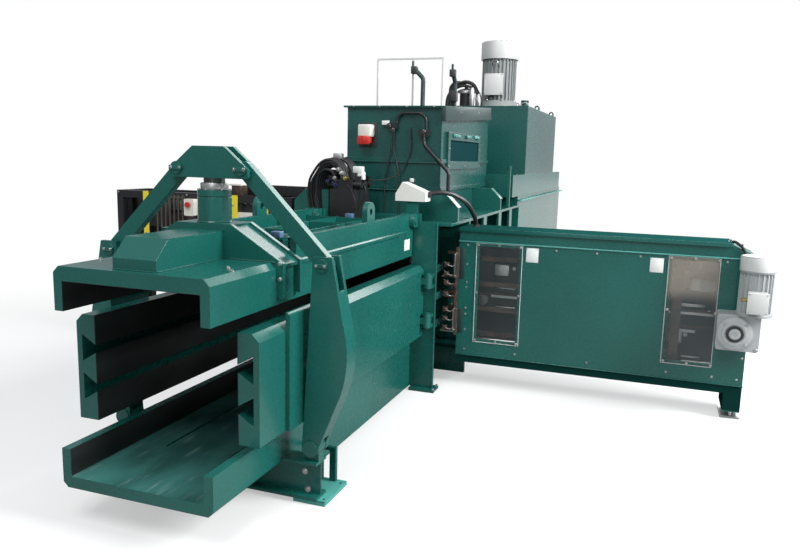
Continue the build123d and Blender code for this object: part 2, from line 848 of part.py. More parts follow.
# Side doors: thick walls with two wire grooves that widen behind a narrow mouth
with BuildPart() as side_door_right:
    with BuildSketch(across(door_front_y)):
        with BuildLine():
            Polyline(
                (door_inner_x, door_bottom_z), (door_outer_x, door_bottom_z),
                (door_outer_x, door_top_z - door_bevel), (door_outer_x - door_bevel, door_top_z),
                (door_inner_x, door_top_z), close=True,
            )
        make_face()
        for groove_z in wire_z[1:3]:
            with BuildLine():
                Polyline(
                    (door_inner_x, groove_z - groove_mouth / 2),
                    (door_inner_x + groove_depth, groove_z - groove_root / 2),
                    (door_inner_x + groove_depth, groove_z + groove_root / 2),
                    (door_inner_x, groove_z + groove_mouth / 2), close=True,
                )
            make_face(mode=Mode.SUBTRACT)
    extrude(amount=door_front_y - (frame_y - door_end_gap))
    with BuildSketch(across(pad_y[0])):
        with Locations((door_outer_x + pad_t / 2, middle(*pad_z))):
            Rectangle(pad_t, pad_z[1] - pad_z[0])
        pad_corner = vertices().sort_by(Axis.Y)[-2:].sort_by(Axis.X)[-1]
        fillet(pad_corner, radius=pad_t * 0.9)
    extrude(amount=pad_y[0] - pad_y[1])
    for hinge_z in door_hinge_z:
        with BuildSketch(level(hinge_z - knuckle_h / 2)):
            with Locations((door_hinge_x, door_hinge_y)):
                Circle(knuckle_r)
            with Locations((middle(door_outer_x, door_hinge_x), door_hinge_y)):
                Rectangle(door_hinge_x - door_outer_x, 2 * knuckle_r)
            with Locations((door_hinge_x, door_hinge_y)):
                Circle(door_pin_r + pin_fit, mode=Mode.SUBTRACT)
        extrude(amount=knuckle_h)
    root_x = door_inner_x + groove_depth
    for joint_x in (root_x, door_outer_x):
        weld_slit((joint_x, door_front_y, door_bottom_z), (joint_x + weld, frame_y, pad_z[1]))
side_door_right.part.label = "side_door_right"
export_step(side_door_right.part, "parts/side_door_right.step")

with BuildPart() as side_door_left:
    mirror(side_door_right.part, about=Plane.YZ)
side_door_left.part.label = "side_door_left"
export_step(side_door_left.part, "parts/side_door_left.step")

# Press chamber

with BuildPart() as press_chamber:
    with BuildSketch(across(frame_back_y)):
        with Locations((0, middle(bottom_z, top_z))):
            Rectangle(2 * wall_x, top_z - bottom_z)
        with Locations((0, middle(floor_z, bale_top_z))):
            Rectangle(2 * bale_half, bale_top_z - floor_z, mode=Mode.SUBTRACT)
    extrude(amount=frame_back_y - rear_y)
    with BuildSketch(level(bale_top_z)):
        with Locations((0, middle(*feed_y))):
            Rectangle(2 * feed_half, feed_y[1] - feed_y[0])
    extrude(amount=top_z - bale_top_z, mode=Mode.SUBTRACT)
    with BuildSketch(along(-wall_x)):
        for wire in wire_z:
            with Locations((needle_y, wire)):
                SlotOverall(needle_slot_w, needle_slot_h)
    extrude(amount=2 * wall_x, mode=Mode.SUBTRACT)
press_chamber.part.label = "press_chamber"
export_step(press_chamber.part, "parts/press_chamber.step")

# Ribs, side flanges and top plates that stiffen both chamber walls
with BuildPart() as chamber_frames:
    web = stiffener_half - wall_x
    for rib_y in stiffener_y:
        with BuildSketch(across(rib_y)):
            for side in (-1, 1):
                with Locations((side * (wall_x + web / 2), stiffener_top_z / 2)):
                    Rectangle(web, stiffener_top_z)
        extrude(amount=-stiffener_t)
    for rib_y in stiffener_y[:-1]:
        with BuildSketch(level(0)):
            for side in (-1, 1):
                with Locations((side * (stiffener_half - stiffener_t / 2), rib_y + stiffener_t / 2)):
                    Rectangle(stiffener_t, stiffener_flange)
        extrude(amount=stiffener_top_z)
    for start_y, end_y in ((frame_back_y, rear_frame_y), (rear_frame_y + frame_t, rear_y)):
        with BuildSketch(level(stiffener_top_z - stiffener_t)):
            for side in (-1, 1):
                with Locations((side * (wall_x + web / 2), middle(start_y, end_y))):
                    Rectangle(web, end_y - start_y)
        extrude(amount=stiffener_t)
    with BuildSketch(across(rear_frame_y + frame_t)):
        for side in (-1, 1):
            with Locations((side * (wall_x + (web - stiffener_t) / 2), press_z)):
                Rectangle(web - stiffener_t, stiffener_t)
    extrude(amount=rear_frame_y + frame_t - rear_y)
    with BuildSketch(level(stiffener_top_z)):
        for side in (-1, 1):
            with Locations((side * (stiffener_half - stop_post_r), stop_post_y)):
                Rectangle(2 * stop_post_r, 2 * stop_post_r)
    extrude(amount=stop_post_top_z - stiffener_top_z)
    with BuildSketch(level(stop_post_top_z)):
        for side in (-1, 1):
            with Locations((side * (stiffener_half - stop_post_r), stop_post_y)):
                Circle(1.5 * stop_post_r)
    extrude(amount=2 * stop_post_r)
    strip_z = stiffener_top_z - stiffener_t
    weld_slit((-stiffener_half, frame_back_y, strip_z - weld), (stiffener_half, rear_y, strip_z))
    weld_slit((-stiffener_half, frame_back_y, stiffener_top_z), (stiffener_half, rear_y, stiffener_top_z + weld))
    flange_x = stiffener_half - stiffener_t
    for rib_y in stiffener_y:
        for joint_y in (rib_y - weld, rib_y + stiffener_t):
            weld_slit((-flange_x, joint_y, 0), (flange_x, joint_y + weld, strip_z))
    for side in (-1, 1):
        joint_x = sorted((side * (flange_x - weld), side * flange_x))
        weld_slit((joint_x[0], frame_back_y, 0), (joint_x[1], rear_y - stiffener_t - weld, strip_z))
chamber_frames.part.label = "chamber_frames"
export_step(chamber_frames.part, "parts/chamber_frames.step")

# Saddle plates over the chamber's corners, each with a capping strip
with BuildPart() as chamber_saddles:
    for station, inner_x in zip(saddle_stations, saddle_inner_x):
        for side in (-1, 1):
            with BuildSketch(across(station)):
                with BuildLine():
                    Polyline(
                        (side * inner_x, top_z), (side * inner_x, saddle_high_z),
                        (side * saddle_shoulder_x, saddle_high_z), (side * stiffener_half, saddle_low_z),
                        (side * stiffener_half, stiffener_top_z), (side * wall_x, stiffener_top_z),
                        (side * wall_x, top_z), close=True,
                    )
                make_face()
            extrude(amount=-saddle_plate_t)
            with BuildSketch(across(station)):
                with BuildLine():
                    Polyline(
                        (side * inner_x, saddle_high_z), (side * saddle_shoulder_x, saddle_high_z),
                        (side * stiffener_half, saddle_low_z), (side * (stiffener_half - 20), saddle_low_z),
                        (side * (saddle_shoulder_x - 6), saddle_high_z - saddle_strip_t),
                        (side * inner_x, saddle_high_z - saddle_strip_t), close=True,
                    )
                make_face()
            extrude(amount=-saddle_strip_w)
chamber_saddles.part.label = "chamber_saddles"
export_step(chamber_saddles.part, "parts/chamber_saddles.step")

# Hopper with a framed side window

frame_size = (window_y[1] - window_y[0], window_z[1] - window_z[0])
glass_size = (frame_size[0] - window_frame_w, frame_size[1] - window_frame_w)
with BuildPart() as hopper:
    with BuildSketch(level(hopper_base_z)):
        with Locations((0, hopper_mid_y)):
            Rectangle(2 * channel_half, hopper_length)
    extrude(amount=hopper_top_z - hopper_base_z)
    with BuildSketch(level(hopper_top_z - hopper_lip_h)):
        with Locations((0, hopper_mid_y)):
            Rectangle(2 * (channel_half + hopper_lip_w), hopper_length + 2 * hopper_lip_w)
    extrude(amount=hopper_lip_h)
    for band_z in seam_z:
        with BuildSketch(level(band_z)):
            with Locations((0, hopper_mid_y)):
                Rectangle(2 * (channel_half + seam_t), hopper_length + 2 * seam_t)
        extrude(amount=seam_h)
    with BuildSketch(along(channel_half)):
        with Locations((middle(*window_y), middle(*window_z))):
            Rectangle(*frame_size)
    extrude(amount=pane_t + window_t)
    with BuildSketch(along(channel_half + pane_t + window_t)):
        with Locations((middle(*window_y), window_z[1] - window_frame_w / 2)):
            with GridLocations(frame_size[0] * 0.35, 0, 3, 1):
                Circle(knob_r)
    extrude(amount=knob_r)
    with BuildSketch(level(hopper_base_z)):
        with Locations((0, hopper_mid_y)):
            Rectangle(2 * (channel_half - hopper_wall), hopper_length - 2 * hopper_wall)
    extrude(amount=hopper_top_z - hopper_base_z, mode=Mode.SUBTRACT)
    with BuildSketch(along(0)):
        with Locations((middle(*window_y), middle(*window_z))):
            Rectangle(frame_size[0] - 2 * window_frame_w, frame_size[1] - 2 * window_frame_w)
    extrude(amount=channel_half + pane_t + window_t, mode=Mode.SUBTRACT)
    with BuildSketch(along(channel_half)):
        with Locations((middle(*window_y), middle(*window_z))):
            Rectangle(*glass_size)
    extrude(amount=pane_t, mode=Mode.SUBTRACT)
hopper.part.label = "hopper"
export_step(hopper.part, "parts/hopper.step")

with BuildPart() as hopper_window:
    with BuildSketch(along(channel_half)):
        with Locations((middle(*window_y), middle(*window_z))):
            Rectangle(*glass_size)
    extrude(amount=pane_t)
hopper_window.part.label = "hopper_window"
export_step(hopper_window.part, "parts/hopper_window.step")

# Fittings on the hopper's front wall and rim

inlet_x = (-268, -156)
inlet_z = (1800, 1890)
inlet_d = 62
inlet_socket_z = 1734
with BuildPart() as power_inlet:
    with BuildSketch(along(inlet_x[0])):
        with BuildLine():
            Polyline(
                (hopper_y, inlet_z[0]), (hopper_y, inlet_z[1]), (hopper_y - inlet_d * 0.7, inlet_z[1]),
                (hopper_y - inlet_d, inlet_z[1] - 30), (hopper_y - inlet_d, inlet_z[0]), close=True,
            )
        make_face()
    extrude(amount=inlet_x[1] - inlet_x[0])
    with BuildSketch(level(inlet_socket_z)):
        with Locations((middle(*inlet_x), hopper_y - inlet_d / 2)):
            Circle(inlet_d * 0.44)
    extrude(amount=inlet_z[0] - inlet_socket_z)
power_inlet.part.label = "power_inlet"
export_step(power_inlet.part, "parts/power_inlet.step")

# Cables from the glands on the wall: an arch, a thick lead and two thin drops
gland_z = (1858, 1902)
gland_w = 80
arch_z = 1980
lead_x = 258
with BuildPart() as hopper_cables:
    with BuildSketch(across(hopper_y - 40)):
        with Locations((0, middle(*gland_z))):
            RectangleRounded(gland_w, gland_z[1] - gland_z[0], 8)
        with Locations((lead_x, middle(*gland_z) - 50)):
            RectangleRounded(gland_w, gland_z[1] - gland_z[0] + 10, 8)
    extrude(amount=-40)
    routes = (
        (hose_r * 0.8, 70, (30, 24, gland_z[1]), (30, 24, arch_z), (lead_x + 14, 24, arch_z),
         (lead_x + 14, 24, gland_z[0] - 1)),
        (hose_r, 60, (lead_x, 30, gland_z[0] - 33), (lead_x, 30, gland_z[0] - 110), (lead_x + 205, 30, 1540),
         (lead_x + 205, 30, frame_top_z)),
        (cable_r, 100, (-10, 22, gland_z[0]), (-10, 22, 1700), (-60, 22, 1450), (-60, 22, top_z)),
        (cable_r, 100, (10, 22, gland_z[0]), (10, 22, 1720), (60, 22, 1500), (60, 22, top_z)),
    )
    for tube_r, bend_r, *corners in routes:
        with BuildLine() as route:
            FilletPolyline(*[(x, hopper_y - back, z) for x, back, z in corners], radius=bend_r)
        with BuildSketch(Plane(origin=route.line @ 0, z_dir=route.line % 0)):
            Circle(tube_r)
        sweep(path=route.line)
hopper_cables.part.label = "hopper_cables"
export_step(hopper_cables.part, "parts/hopper_cables.step")

# Light frame and two sensor posts that stand on the hopper's rim
guard_x = (-144, 144, 379)
guard_top_z = 2390
guard_tube = 12
with BuildPart() as guard_frame:
    with BuildSketch(across(hopper_y + 2)):
        for post_x in guard_x:
            with Locations((post_x, middle(hopper_top_z, guard_top_z))):
                Rectangle(guard_tube, guard_top_z - hopper_top_z)
        with Locations((middle(guard_x[0], guard_x[-1]), guard_top_z - guard_tube / 2)):
            Rectangle(guard_x[-1] - guard_x[0], guard_tube)
    extrude(amount=-guard_tube)
guard_frame.part.label = "guard_frame"
export_step(guard_frame.part, "parts/guard_frame.step")

post_r = 17
post_top_z = 2235
post_feet = ((235, hopper_y - 18), (channel_half + 14, 2630))
with BuildPart() as sensor_posts:
    for foot_at, lean in zip(post_feet, ((-1, 0), (0, -1))):
        with BuildLine() as stalk:
            FilletPolyline(
                (foot_at[0], foot_at[1], hopper_top_z), (foot_at[0], foot_at[1], post_top_z),
                (foot_at[0] + 60 * lean[0], foot_at[1] + 60 * lean[1], post_top_z + 60),
                radius=40,
            )
        with BuildSketch(Plane(origin=stalk.line @ 0, z_dir=stalk.line % 0)):
            Circle(post_r)
        sweep(path=stalk.line)
        with BuildSketch(level(post_top_z + 40)):
            with Locations((foot_at[0] + 72 * lean[0], foot_at[1] + 72 * lean[1])):
                Rectangle(36, 36)
        extrude(amount=44)
        with BuildSketch(level(post_top_z + 84)):
            with Locations((foot_at[0] + 84 * lean[0], foot_at[1] + 84 * lean[1])):
                Circle(9)
        extrude(amount=44)
sensor_posts.part.label = "sensor_posts"
export_step(sensor_posts.part, "parts/sensor_posts.step")

# Rear body with the deck, the ram and the main cylinder

with BuildPart() as rear_body:
    leg_y = (rear_y + leg_side, middle(rear_y, rear_end_y), rear_end_y - leg_side)
    with BuildSketch(level(0)):
        for leg_at in leg_y:
            with Locations((-body_half + leg_side, leg_at), (body_half - leg_side, leg_at)):
                Rectangle(leg_side, leg_side)
    extrude(amount=foot_t)
    with BuildSketch(level(foot_t)):
        for leg_at in leg_y:
            with Locations((-body_half + leg_side, leg_at), (body_half - leg_side, leg_at)):
                Rectangle(leg_side / 2, leg_side / 2)
    extrude(amount=body_base_z - foot_t)
    with BuildSketch(across(rear_y)):
        with Locations((0, middle(body_base_z, body_top_z))):
            Rectangle(2 * body_half, body_top_z - body_base_z)
    extrude(amount=rear_y - rear_end_y)
    with BuildSketch(across(deck_y[0])):
        with Locations((0, middle(body_top_z, deck_z))):
            Rectangle(2 * deck_half, deck_z - body_top_z)
    extrude(amount=deck_y[0] - deck_y[1])
    with BuildSketch(across(rear_y + body_wall)):
        with Locations((0, middle(body_base_z + body_wall, body_top_z - body_wall))):
            Rectangle(2 * (body_half - body_wall), body_top_z - body_base_z - 2 * body_wall)
    extrude(amount=rear_y + 2 * body_wall - rear_end_y, mode=Mode.SUBTRACT)
    with BuildSketch(across(deck_y[0] + body_wall)):
        with Locations((0, middle(body_top_z, deck_z - body_wall))):
            Rectangle(2 * (deck_half - body_wall), deck_z - body_wall - body_top_z)
    extrude(amount=deck_y[0] + 2 * body_wall - deck_y[1], mode=Mode.SUBTRACT)
    with BuildSketch(across(rear_y)):
        with Locations((0, middle(floor_z, bale_top_z))):
            Rectangle(2 * bale_half, bale_top_z - floor_z)
    extrude(amount=-body_wall, mode=Mode.SUBTRACT)
    with BuildSketch(across(rear_y)):
        with Locations((0, floor_z - wall_t / 2)):
            Rectangle(2 * bale_half, wall_t)
        with Locations((-bale_half + 30, middle(body_base_z, floor_z)), (bale_half - 30, middle(body_base_z, floor_z))):
            Rectangle(30, floor_z - body_base_z)
    extrude(amount=rear_y - press_back_y)
    with BuildSketch(across(press_back_y)):
        with Locations((0, middle(body_base_z, body_top_z))):
            Rectangle(2 * body_half, body_top_z - body_base_z)
    extrude(amount=-press_mount_t)
    wall_in_x = body_half - body_wall
    deck_in_x = deck_half - body_wall
    for joint_z in (body_base_z - weld, body_base_z + body_wall, body_top_z - body_wall - weld):
        weld_slit((-wall_in_x, rear_y, joint_z), (wall_in_x, rear_end_y, joint_z + weld))
    weld_slit((-bale_half, rear_y, floor_z - wall_t - weld), (bale_half, press_back_y, floor_z - wall_t))
    for joint_y in (rear_y + body_wall, press_back_y - weld):
        weld_slit((-bale_half, joint_y, body_base_z), (bale_half, joint_y + weld, floor_z))
    weld_slit((-deck_half, deck_y[0], body_top_z), (deck_half, deck_y[1], body_top_z + weld))
    lid_z = deck_z - body_wall - weld
    weld_slit((-deck_in_x, deck_y[0], lid_z), (deck_in_x, deck_y[1], lid_z + weld))
    for side in (-1, 1):
        wall_joint = sorted((side * (wall_in_x - weld), side * wall_in_x))
        weld_slit((wall_joint[0], rear_y, body_base_z), (wall_joint[1], rear_end_y, body_top_z))
        deck_joint = sorted((side * (deck_in_x - weld), side * deck_in_x))
        weld_slit((deck_joint[0], deck_y[0], body_top_z), (deck_joint[1], deck_y[1], deck_z))
        front_joint = sorted((side * bale_half, side * (bale_half + weld)))
        weld_slit((front_joint[0], rear_y, body_base_z + body_wall), (front_joint[1], rear_y + body_wall, body_top_z))
rear_body.part.label = "rear_body"
export_step(rear_body.part, "parts/rear_body.step")

with BuildPart() as ram:
    with BuildSketch(across(ram_front_y)):
        with Locations((0, middle(floor_z + side_gap, ram_top_z))):
            Rectangle(2 * ram_half, ram_top_z - floor_z - side_gap)
    extrude(amount=-ram_length)
    with BuildSketch(across(ram_front_y + ram_face_t)):
        with Locations((0, middle(floor_z + side_gap, ram_top_z))):
            Rectangle(2 * (ram_half - ram_wall), ram_top_z - floor_z - side_gap - 2 * ram_wall)
    extrude(amount=ram_face_t - ram_length, mode=Mode.SUBTRACT)
    with BuildSketch(across(ram_front_y)):
        for wire in wire_z:
            with Locations((0, wire)):
                Rectangle(2 * ram_half, needle_slot_h)
    extrude(amount=-(ram_face_t - ram_wall), mode=Mode.SUBTRACT)
ram.part.label = "ram"
export_step(ram.part, "parts/ram.step")

with BuildPart() as main_cylinder:
    with BuildSketch(across(press_front_y)):
        with Locations((0, press_z)):
            Circle(press_barrel_r)
    extrude(amount=press_front_y - press_back_y)
    with BuildSketch(across(press_front_y + press_head_t)):
        with Locations((0, press_z)):
            Circle(press_bore_r)
    extrude(amount=press_front_y + 2 * press_head_t - press_back_y, mode=Mode.SUBTRACT)
    with BuildSketch(across(press_front_y)):
        with Locations((0, press_z)):
            Circle(press_rod_r + pin_fit)
    extrude(amount=-press_head_t, mode=Mode.SUBTRACT)
main_cylinder.part.label = "main_cylinder"
export_step(main_cylinder.part, "parts/main_cylinder.step")

with BuildPart() as ram_rod:
    piston_y = press_back_y - 2 * press_head_t - press_piston_t
    with BuildSketch(across(ram_front_y + ram_face_t)):
        with Locations((0, press_z)):
            Circle(press_rod_r)
    extrude(amount=ram_front_y + ram_face_t - piston_y)
    with BuildSketch(across(piston_y)):
        with Locations((0, press_z)):
            Circle(press_bore_r - 1)
    extrude(amount=-press_piston_t)
ram_rod.part.label = "ram_rod"
export_step(ram_rod.part, "parts/ram_rod.step")

# Power unit on the deck

with BuildPart() as oil_tank:
    tank_mid_y = middle(*tank_y)
    tank_size = (2 * tank_half, tank_y[1] - tank_y[0])
    filler_at = (tank_half - 130, tank_y[0] + 500)
    with BuildSketch(level(deck_z)):
        with Locations((0, tank_mid_y)):
            Rectangle(*tank_size)
    extrude(amount=tank_top_z - deck_z)
    with BuildSketch(level(deck_z + tank_wall)):
        with Locations((0, tank_mid_y)):
            Rectangle(tank_size[0] - 2 * tank_wall, tank_size[1] - 2 * tank_wall)
    extrude(amount=tank_top_z - deck_z - 2 * tank_wall, mode=Mode.SUBTRACT)
    for hook_at in hook_y:
        with BuildSketch(across(hook_at)):
            for side in (-1, 1):
                with Locations((side * (tank_half - 50), tank_top_z + 15)):
                    Rectangle(60, 30)
                with Locations((side * (tank_half - 50), tank_top_z + 30)):
                    Circle(30)
                    Circle(hook_eye_r, mode=Mode.SUBTRACT)
        extrude(amount=-12)
    with BuildSketch(level(tank_top_z)):
        with Locations(filler_at):
            Circle(30)
    extrude(amount=64)
    with BuildSketch(level(tank_top_z + 64)):
        with Locations(filler_at):
            Circle(42)
    extrude(amount=26)
    for joint_z in (deck_z + tank_wall, tank_top_z - tank_wall - weld, tank_top_z):
        weld_slit((-tank_half, tank_y[0], joint_z), (tank_half, tank_y[1], joint_z + weld))
    for side in (-1, 1):
        tank_joint = sorted((side * (tank_half - tank_wall - weld), side * (tank_half - tank_wall)))
        weld_slit((tank_joint[0], tank_y[0], deck_z), (tank_joint[1], tank_y[1], tank_top_z))
oil_tank.part.label = "oil_tank"
export_step(oil_tank.part, "parts/oil_tank.step")

with BuildPart() as pump_motor:
    with BuildSketch(level(tank_top_z)):
        with Locations((pump_x, pump_y)):
            Circle(pump_flange_r)
    extrude(amount=pump_flange_h, taper=12)
    with BuildSketch(level(tank_top_z + pump_flange_h)):
        with Locations((pump_x, pump_y)):
            Circle(pump_r - 16)
            with PolarLocations(pump_r - 12, fin_count):
                Rectangle(24, fin_t)
    extrude(amount=pump_body_top - pump_flange_h)
    with BuildSketch(level(tank_top_z + pump_body_top)):
        with Locations((pump_x, pump_y)):
            Circle(cowl_r)
    extrude(amount=cowl_h)
    cowl_rim = pump_motor.faces().sort_by(Axis.Z)[-1].edges()
    fillet(cowl_rim, radius=26)
    with BuildSketch(across(pump_y - pump_r - pump_box[2] + 24)):
        with Locations((pump_x, tank_top_z + 215)):
            RectangleRounded(pump_box[0], pump_box[1], 8)
    extrude(amount=-pump_box[2])
pump_motor.part.label = "pump_motor"
export_step(pump_motor.part, "parts/pump_motor.step")

# Valve stack on the chamber's roof, and the filter on the tank

valve_x = (-330, -130)
valve_y = (1900, 2180)
valve_base_z = 1400
valve_body = (150, 74, 70)
coil_r = 25
coil_l = 62
valve_at = middle(valve_base_z, valve_base_z + valve_body[2])
with BuildPart() as valve_block:
    with BuildSketch(level(top_z)):
        with Locations((middle(*valve_x), middle(*valve_y))):
            Rectangle(valve_x[1] - valve_x[0], valve_y[1] - valve_y[0])
    extrude(amount=valve_base_z - top_z)
    with BuildSketch(level(valve_base_z)):
        with Locations((middle(*valve_x), middle(*valve_y))):
            with GridLocations(0, valve_body[1] + 14, 1, 3):
                Rectangle(valve_body[0], valve_body[1])
    extrude(amount=valve_body[2])
    with BuildSketch(level(tank_top_z)):
        with Locations((filter_x, pump_y - 100)):
            Circle(filter_r)
    extrude(amount=filter_h)
valve_block.part.label = "valve_block"
export_step(valve_block.part, "parts/valve_block.step")

with BuildPart() as valve_coils:
    for coil_x in (middle(*valve_x) - valve_body[0] / 2 - coil_l, middle(*valve_x) + valve_body[0] / 2):
        with BuildSketch(along(coil_x)):
            with Locations((middle(*valve_y), valve_at)):
                with GridLocations(valve_body[1] + 14, 0, 3, 1):
                    Circle(coil_r)
        extrude(amount=coil_l)
        with BuildSketch(level(valve_at + coil_r - 8)):
            with Locations((coil_x + coil_l / 2, middle(*valve_y))):
                with GridLocations(0, valve_body[1] + 14, 1, 3):
                    Rectangle(40, 34)
        extrude(amount=46)
valve_coils.part.label = "valve_coils"
export_step(valve_coils.part, "parts/valve_coils.step")

# Hoses from the roof over to the valves, and from the tank's lid to the filter
loop_r = 100
loop_reach = 130
loop_top_z = 1620
loop_stations = tuple(valve_y[0] + step for step in (162, 206, 250))
with BuildPart() as hydraulic_hoses:
    for loop_y in loop_stations:
        with BuildLine() as loop:
            FilletPolyline(
                (valve_x[0] - loop_reach, loop_y, stiffener_top_z), (valve_x[0] - loop_reach, loop_y, loop_top_z),
                (middle(*valve_x), loop_y, loop_top_z), (middle(*valve_x), loop_y, valve_base_z + valve_body[2]),
                radius=loop_r,
            )
        with BuildSketch(Plane(origin=loop.line @ 0, z_dir=loop.line % 0)):
            Circle(hose_r)
        sweep(path=loop.line)
    with BuildLine() as return_loop:
        FilletPolyline(
            (filter_x - 180, pump_y - 100, tank_top_z), (filter_x - 180, pump_y - 100, tank_top_z + 250),
            (filter_x, pump_y - 100, tank_top_z + 250), (filter_x, pump_y - 100, tank_top_z + filter_h),
            radius=80,
        )
    with BuildSketch(Plane(origin=return_loop.line @ 0, z_dir=return_loop.line % 0)):
        Circle(hose_r * 1.2)
    sweep(path=return_loop.line)
hydraulic_hoses.part.label = "hydraulic_hoses"
export_step(hydraulic_hoses.part, "parts/hydraulic_hoses.step")

# Junction box on a bracket over the top channel's hinge, and its conduit
box_z = 1344
box_y = (frame_y - 10, frame_y + 110)
box_x = (250, 470)
conduit_z = 1394
with BuildPart() as junction_box:
    with BuildSketch(across(box_y[0])):
        with BuildLine():
            Polyline(
                (box_x[0], box_z), (box_x[0], box_z + 50), (box_x[0] + 50, box_z + 132),
                (box_x[1], box_z + 66), (box_x[1], box_z), close=True,
            )
        make_face()
    extrude(amount=box_y[0] - box_y[1])
    with BuildSketch(across(frame_y + 4)):
        with Locations((rib_outer_x - rib_t / 2, middle(top_hinge_z + hinge_lug_r, box_z))):
            Rectangle(2.5 * rib_t, box_z - top_hinge_z - hinge_lug_r)
    extrude(amount=-12)
junction_box.part.label = "junction_box"
export_step(junction_box.part, "parts/junction_box.step")

with BuildPart() as cabinet_conduit:
    with BuildLine() as conduit:
        FilletPolyline(
            (box_x[1], box_y[1] - 50, conduit_z), (690, box_y[1] - 50, conduit_z),
            (780, 2110, conduit_z), (780, 2110, cab_top_z),
            radius=90,
        )
    with BuildSketch(Plane(origin=conduit.line @ 0, z_dir=conduit.line % 0)):
        Circle(hose_r)
    sweep(path=conduit.line)
cabinet_conduit.part.label = "cabinet_conduit"
export_step(cabinet_conduit.part, "parts/cabinet_conduit.step")

# Needle cabinet: a sheet box with a sloped end hood and a leg

cab_mid_x = middle(*cab_x)
cab_width = cab_x[1] - cab_x[0]
cab_front_y = cabinet_y + cab_panel_t
with BuildPart() as needle_cabinet:
    with BuildSketch(across(cab_front_y)):
        with BuildLine():
            Polyline(
                (cab_x[0], cab_bottom_z), (cab_x[1], cab_bottom_z), (cab_x[1], cab_hood_z),
                (cab_hood_x, cab_top_z), (cab_x[0], cab_top_z), close=True,
            )
        make_face()
    extrude(amount=cab_front_y - cab_back_y)
    with BuildSketch(across(cab_front_y + cab_wall)):
        with BuildLine():
            Polyline(
                (cab_x[0] + cab_wall, cab_bottom_z + cab_wall), (cab_x[1] - cab_wall, cab_bottom_z + cab_wall),
                (cab_x[1] - cab_wall, cab_hood_z - cab_wall), (cab_hood_x - cab_wall, cab_top_z - cab_wall),
                (cab_x[0] + cab_wall, cab_top_z - cab_wall), close=True,
            )
        make_face()
    extrude(amount=cab_front_y + 2 * cab_wall - cab_back_y, mode=Mode.SUBTRACT)
    with BuildSketch(across(cab_front_y)):
        with Locations((cab_mid_x, middle(cab_panel_z[0] + 25, cab_panel_z[1] - 20))):
            Rectangle(cab_width - 80, cab_panel_z[1] - cab_panel_z[0] - 45)
    extrude(amount=-cab_wall, mode=Mode.SUBTRACT)
    with BuildSketch(along(cab_x[0])):
        for wire in wire_z:
            with Locations((needle_y, wire)):
                Rectangle(needle_slot_w, needle_slot_h)
    extrude(amount=cab_wall, mode=Mode.SUBTRACT)
    with BuildSketch(level(cab_foot_t + 40)):
        with Locations((middle(*cab_leg_x), middle(cab_front_y, cab_back_y))):
            Rectangle(cab_leg_x[1] - cab_leg_x[0], cab_depth - cab_panel_t)
            Rectangle(
                cab_leg_x[1] - cab_leg_x[0] - 2 * cab_leg_t, cab_depth - cab_panel_t - 2 * cab_leg_t,
                mode=Mode.SUBTRACT,
            )
    extrude(amount=cab_bottom_z - cab_foot_t - 40)
    with BuildSketch(level(cab_foot_t + 40)):
        with Locations((middle(*cab_leg_x), middle(cab_front_y, cab_back_y))):
            Rectangle(cab_leg_x[1] - cab_leg_x[0], cab_depth - cab_panel_t)
    extrude(amount=cab_leg_t)
    with BuildSketch(along(wall_x)):
        for arm_z in (cab_bottom_z + 60, cab_panel_z[1] + 30):
            with Locations((cab_back_y - 40, arm_z)):
                Rectangle(50, 60)
    extrude(amount=cab_x[0] - wall_x)
    with BuildSketch(across(rail_y + 40)):
        with Locations((drive_x, sprocket_z)):
            Circle(2 * gear_shaft_r)
            Circle(gear_shaft_r + pin_fit, mode=Mode.SUBTRACT)
    extrude(amount=rail_y + 40 - cab_back_y + cab_wall)
needle_cabinet.part.label = "needle_cabinet"
export_step(needle_cabinet.part, "parts/needle_cabinet.step")

with BuildPart() as cabinet_front_panel:
    with BuildSketch(across(cabinet_y)):
        with Locations((cab_mid_x, middle(*cab_panel_z))):
            Rectangle(cab_width, cab_panel_z[1] - cab_panel_z[0])
        with Locations((middle(cab_tab_x, cab_x[0] + 20), middle(*cab_tab_z))):
            Rectangle(cab_x[0] + 20 - cab_tab_x, cab_tab_z[1] - cab_tab_z[0])
        for opening in (cab_open_left, cab_open_right):
            with Locations((middle(*opening), middle(*cab_open_z))):
                Rectangle(opening[1] - opening[0], cab_open_z[1] - cab_open_z[0], mode=Mode.SUBTRACT)
        with Locations((drive_x, sprocket_z)):
            Circle(gear_shaft_r + 10, mode=Mode.SUBTRACT)
    extrude(amount=-cab_panel_t)
cabinet_front_panel.part.label = "cabinet_front_panel"
export_step(cabinet_front_panel.part, "parts/cabinet_front_panel.step")

with BuildPart() as cabinet_windows:
    pane_lap = min(cab_pane_lap, gearbox_x[0] - cab_open_right[1])
    with BuildSketch(across(cabinet_y - cab_pane_t)):
        for opening in (cab_open_left, cab_open_right):
            with Locations((middle(opening[0] - cab_pane_lap, opening[1] + pane_lap), middle(*cab_open_z))):
                Rectangle(
                    opening[1] - opening[0] + cab_pane_lap + pane_lap,
                    cab_open_z[1] - cab_open_z[0] + 2 * cab_pane_lap,
                )
    extrude(amount=-cab_pane_t)
cabinet_windows.part.label = "cabinet_windows"
export_step(cabinet_windows.part, "parts/cabinet_windows.step")

